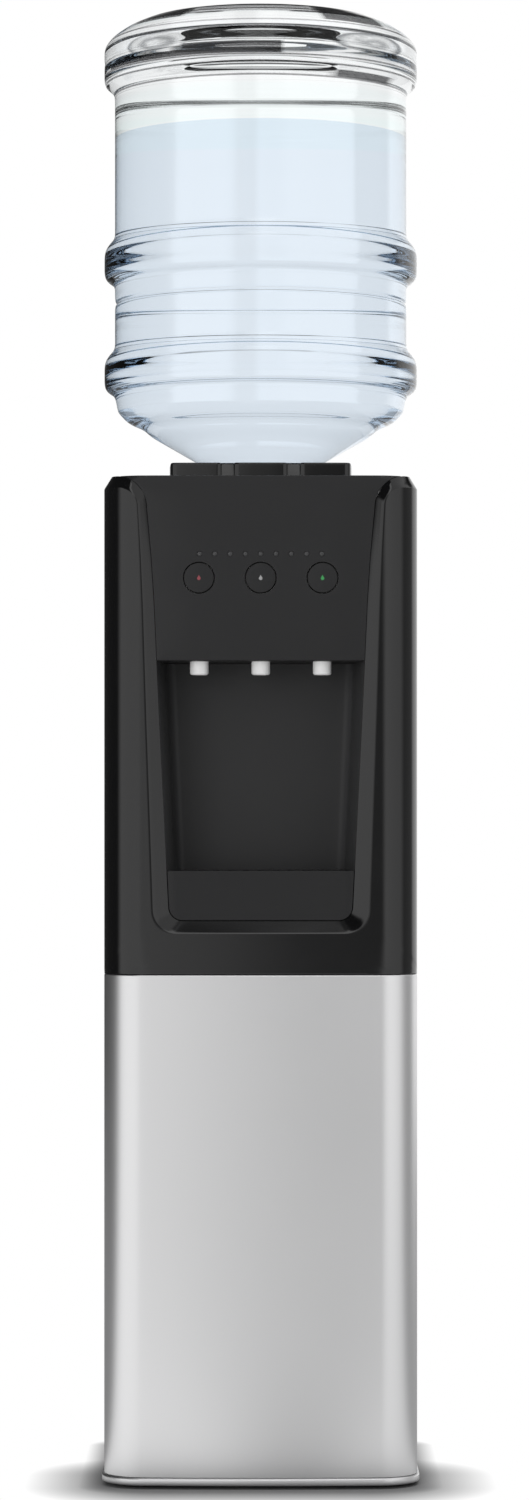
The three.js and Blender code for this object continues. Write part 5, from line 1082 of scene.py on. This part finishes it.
hub = np.linspace(math.pi, 2 * math.pi, 17)
rocker = np.concatenate([
    np.stack([4.2 * np.cos(hub), 4.2 * np.sin(hub)], 1),
    [[8.3, 0], [8.3, 3], [4, 1.7], [0, 1.3], [-4, 1.7], [-8.3, 3], [-8.3, 0]],
])
rocker = soften(rocker, 0.8, 4, True)
tilt, switch_z = math.radians(8), 660
for name, x, finish, slot in (
    ("hot", -24, switch_red, "switch_red"),
    ("cold", 24, switch_green, "switch_green"),
):
    make(f"{name}_switch_frame", switch_frame(x, switch_z), black_panel, "black_panel", "cabinet",
         [f"{name}_switch_body"])
    parts = prism(rocker, -5, 5, edge=0.3)
    placed = []
    for points, net in parts:
        up, out, across = points[:, 0], points[:, 1], points[:, 2]
        y = out * math.cos(tilt) - up * math.sin(tilt)
        z = out * math.sin(tilt) + up * math.cos(tilt)
        placed.append((np.stack([x + across, 115.7 + y, switch_z + z], 1), net))
    make(f"{name}_switch_key", placed, finish, slot, f"{name}_rocker", [f"{name}_switch_rocker"])

gland_x, gland_z = -108, 452
sleeve = soften([[4, 108.7], [6.5, 108.7], [6.5, 119.8], [4, 119.8]], 0.4, 3, True)
gland = [turned(sleeve, (gland_x, 0, gland_z), "y", 40, True)]
nut = [soften(circle(9, gland_x, gland_z, 6), 1.0, 3, True), circle(4, gland_x, gland_z, 24)]
for low, high in ((108.7, 112.7), (114.8, 119.8)):
    gland += pierced_plate(nut, upright, low, high)
make("gland", gland, rubber, "black_rubber", "cabinet", ["cord_gland"])


# ---------------------------------------------------------------- pieces that keep their CAD shape
kept = {
    "control_board": board_green, "hot_valve": white_plastic, "ambient_valve": white_plastic,
    "cold_valve": white_plastic, "feed_probe": white_plastic, "cold_tank": tank_steel,
    "cold_tank_jacket": foam, "tank_shelf": sheet_steel, "mid_deck": sheet_steel, "hot_tank": tank_steel,
    "heater_band": sheet_steel, "ambient_hose": hose_clear, "cold_hose": hose_clear, "hot_hose": hose_clear,
    "hot_tank_feed_hose": hose_clear,
}
for node, finish in kept.items():
    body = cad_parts[node]
    body.data.materials.clear()
    body.data.materials.append(finish)


# ---------------------------------------------------------------- stage, light and camera
def by_angle(shade, x, y, stops):
    """Brightness by the angle round the object, 0 towards the camera, minus to its left."""
    turn = x.math("ARCTAN2", y * -1.0) / (2 * math.pi) + 0.5
    spots = [(angle / 360 + 0.5, value) for angle, value in stops]
    return shade.add("ShaderNodeValToRGB", dict(stops=spots), turn)[0]


def rays(shade):
    """1 for rays from the camera, for mirrored rays and for rays bent by clear plastic, each else 0.
    Bent rays count among the mirrored ones too."""
    path = shade.add("ShaderNodeLightPath")
    return path[0], path[3], path[6]


# How bright the room is through clear plastic, by the angle round the object
HORIZON = [
    (-180, 1.01), (-159, 1.01), (-157.5, 0.9), (-142, 0.9), (-138, 0.98), (-117, 0.85), (-108, 0.4),
    (-100, 1.2), (-90, 0.4), (-78, 1.1), (-66, 0.2), (-40, 0.9), (-25, 0.2), (0, 0.8), (25, 0.2), (40, 0.9),
    (66, 0.2), (78, 1.1), (90, 0.4), (100, 1.2), (108, 0.4), (117, 0.85), (160, 0.9), (162, 1.01),
    (174, 1.01), (175.5, 0.92), (179, 0.92), (180, 1.01),
]

floor_mesh = bpy.data.meshes.new("floor")
floor_mesh.from_pydata([(-4, -5, 0), (4, -5, 0), (4, 4, 0), (-4, 4, 0)], [], [(0, 1, 2, 3)])
floor = bpy.data.objects.new("floor", floor_mesh)
bpy.context.scene.collection.objects.link(floor)
shade = Shade("pale floor")
direct, mirror, bent = rays(shade)
seen = (direct + mirror + bent).math("MINIMUM", 1.0)
x, y, _ = shade.apart(shade.place())


def outside(half_x, half_y, middle_y, rounding):
    """How far a spot lies outside a rounded rectangle on the floor."""
    aside = (x.math("ABSOLUTE") - half_x).math("MAXIMUM", 0.0)
    along = ((y - middle_y).math("ABSOLUTE") - half_y).math("MAXIMUM", 0.0)
    return (aside * aside + along * along) ** 0.5 - rounding


# Painted shadow: near the footprint, and most of all in front of it, the camera sees a dark floor, white
# beyond
front_shade = outside(0.09, 0.03, -0.095, 0.03)
near_shade = outside(0.115, 0.125, 0.0, 0.022)
white = front_shade.above(0.04, 0.085) ** 1.3 * near_shade.above(0.008, 0.024)
lit = shade.add("ShaderNodeBsdfDiffuse", None, Color=(0.8, 0.8, 0.8))[0]
painted_shadow = shade.add("ShaderNodeBsdfDiffuse", None, Color=(0.2, 0.2, 0.2))[0]
mirrored = by_angle(shade, x, y, [
    (-180, 0.3), (-90, 0.3), (-72, 1.15), (-14, 1.05), (-4, 0.85), (0, 0.72), (5, 0.62), (14, 0.62),
    (24, 1.0), (70, 0.85), (84, 0.4), (180, 0.4),
])
shadow_strip = x.above(-0.55, 0.1) - x.above(0.85, 0.1)
through_glass = y.above(-0.1, 0.6) * 0.88 * (1 - shadow_strip * 0.9) + 0.07
far_away = ((x * x + y * y) ** 0.5).above(3.2, 1.6)
through_glass = shade.mix(far_away, through_glass, by_angle(shade, x, y, HORIZON))
through_glass = shade.add("ShaderNodeRGBToBW", None, through_glass)[0]
strength = direct + mirror * (1 - bent) * mirrored + bent * through_glass
glow = shade.add("ShaderNodeEmission", None, Color=(1, 1, 1), Strength=strength)[0]
backdrop = shade.add("ShaderNodeMixShader", None, white, painted_shadow, glow)[0]
blend = shade.add("ShaderNodeMixShader", None, seen, lit, backdrop)[0]
shade.add("ShaderNodeOutputMaterial", None, Surface=blend)
floor_mesh.materials.append(shade.owner)

world = bpy.context.scene.world or bpy.data.worlds.new("studio")
bpy.context.scene.world = world
shade = Shade("studio", world)
direct, mirror, bent = rays(shade)
x, y, z = shade.apart(shade.add("ShaderNodeTexCoord")[0])
gloss = by_angle(shade, x, y, [
    (-180, 0.3), (-165, 0.06), (-150, 0.05), (-82, 0.08), (-68, 1.25), (-14, 1.25), (-7, 0.96),
    (-3.5, 0.84), (-0.5, 0.6), (2.5, 0.34), (8, 0.26), (13, 0.28), (24, 1.3), (70, 1.0), (82, 0.34),
    (116, 0.36), (124, 1.3), (180, 1.0),
])
through = by_angle(shade, x, y, HORIZON)
raised = by_angle(shade, x, y, [
    (-180, 0.03), (-16, 0.05), (-10, 1.9), (10, 1.9), (16, 0.9), (120, 0.9), (130, 0.03), (180, 0.03),
])
overhead = x.above(0.0, 0.05) * 0.5 - x.above(0.06, 0.03) * 0.35 + x.above(0.25, 0.2) * 0.6 + 0.2
gloss = shade.mix(z.above(0.38, 0.1), gloss, raised)
gloss = shade.mix(z.above(0.84, 0.06), gloss, overhead)
through = shade.mix(z.above(0.3, 0.06), through, (0.9, 0.9, 0.9))
through = shade.mix(z.above(0.5, 0.1), through, (0.86, 0.86, 0.86))
through = shade.mix(z.above(0.78, 0.06), through, (0.5, 0.5, 0.51))
light = shade.mix(mirror, (0.45, 0.45, 0.46), gloss)
light = shade.mix(bent, light, through)
light = shade.mix(direct, light, (1, 1, 1))
back_light = shade.add("ShaderNodeBackground", None, Color=light, Strength=1.0)[0]
shade.add("ShaderNodeOutputWorld", None, Surface=back_light)


def lamp(name, place, aim, size, power):
    """A soft square lamp that shows in no reflection."""
    data = bpy.data.lights.new(name, "AREA")
    data.size, data.energy = size, power
    holder = bpy.data.objects.new(name, data)
    holder.location = place
    holder.rotation_euler = (Vector(aim) - Vector(place)).to_track_quat("-Z", "Y").to_euler()
    holder.visible_glossy = False
    holder.visible_transmission = False
    bpy.context.scene.collection.objects.link(holder)


lamp("key", (-1.1, -3.5, 0.75), (0, 0, 0.6), 1.6, 56)
lamp("top", (0.8, -0.6, 3.2), (0, 0, 0.6), 2.0, 40)

camera = bpy.data.objects.new("camera", bpy.data.cameras.new("camera"))
bpy.context.scene.collection.objects.link(camera)
camera.location = (0.0003, -3.977, 0.5775)
camera.rotation_euler = (math.pi / 2, 0, 0)
camera.data.lens = 107.65
camera.data.sensor_width = 36
camera.data.shift_x = 0.0023
camera.data.shift_y = 0.0427
bpy.context.scene.camera = camera
bpy.context.scene.view_settings.view_transform = "Standard"
bpy.context.scene.cycles.max_bounces = 32
bpy.context.scene.cycles.transmission_bounces = 32
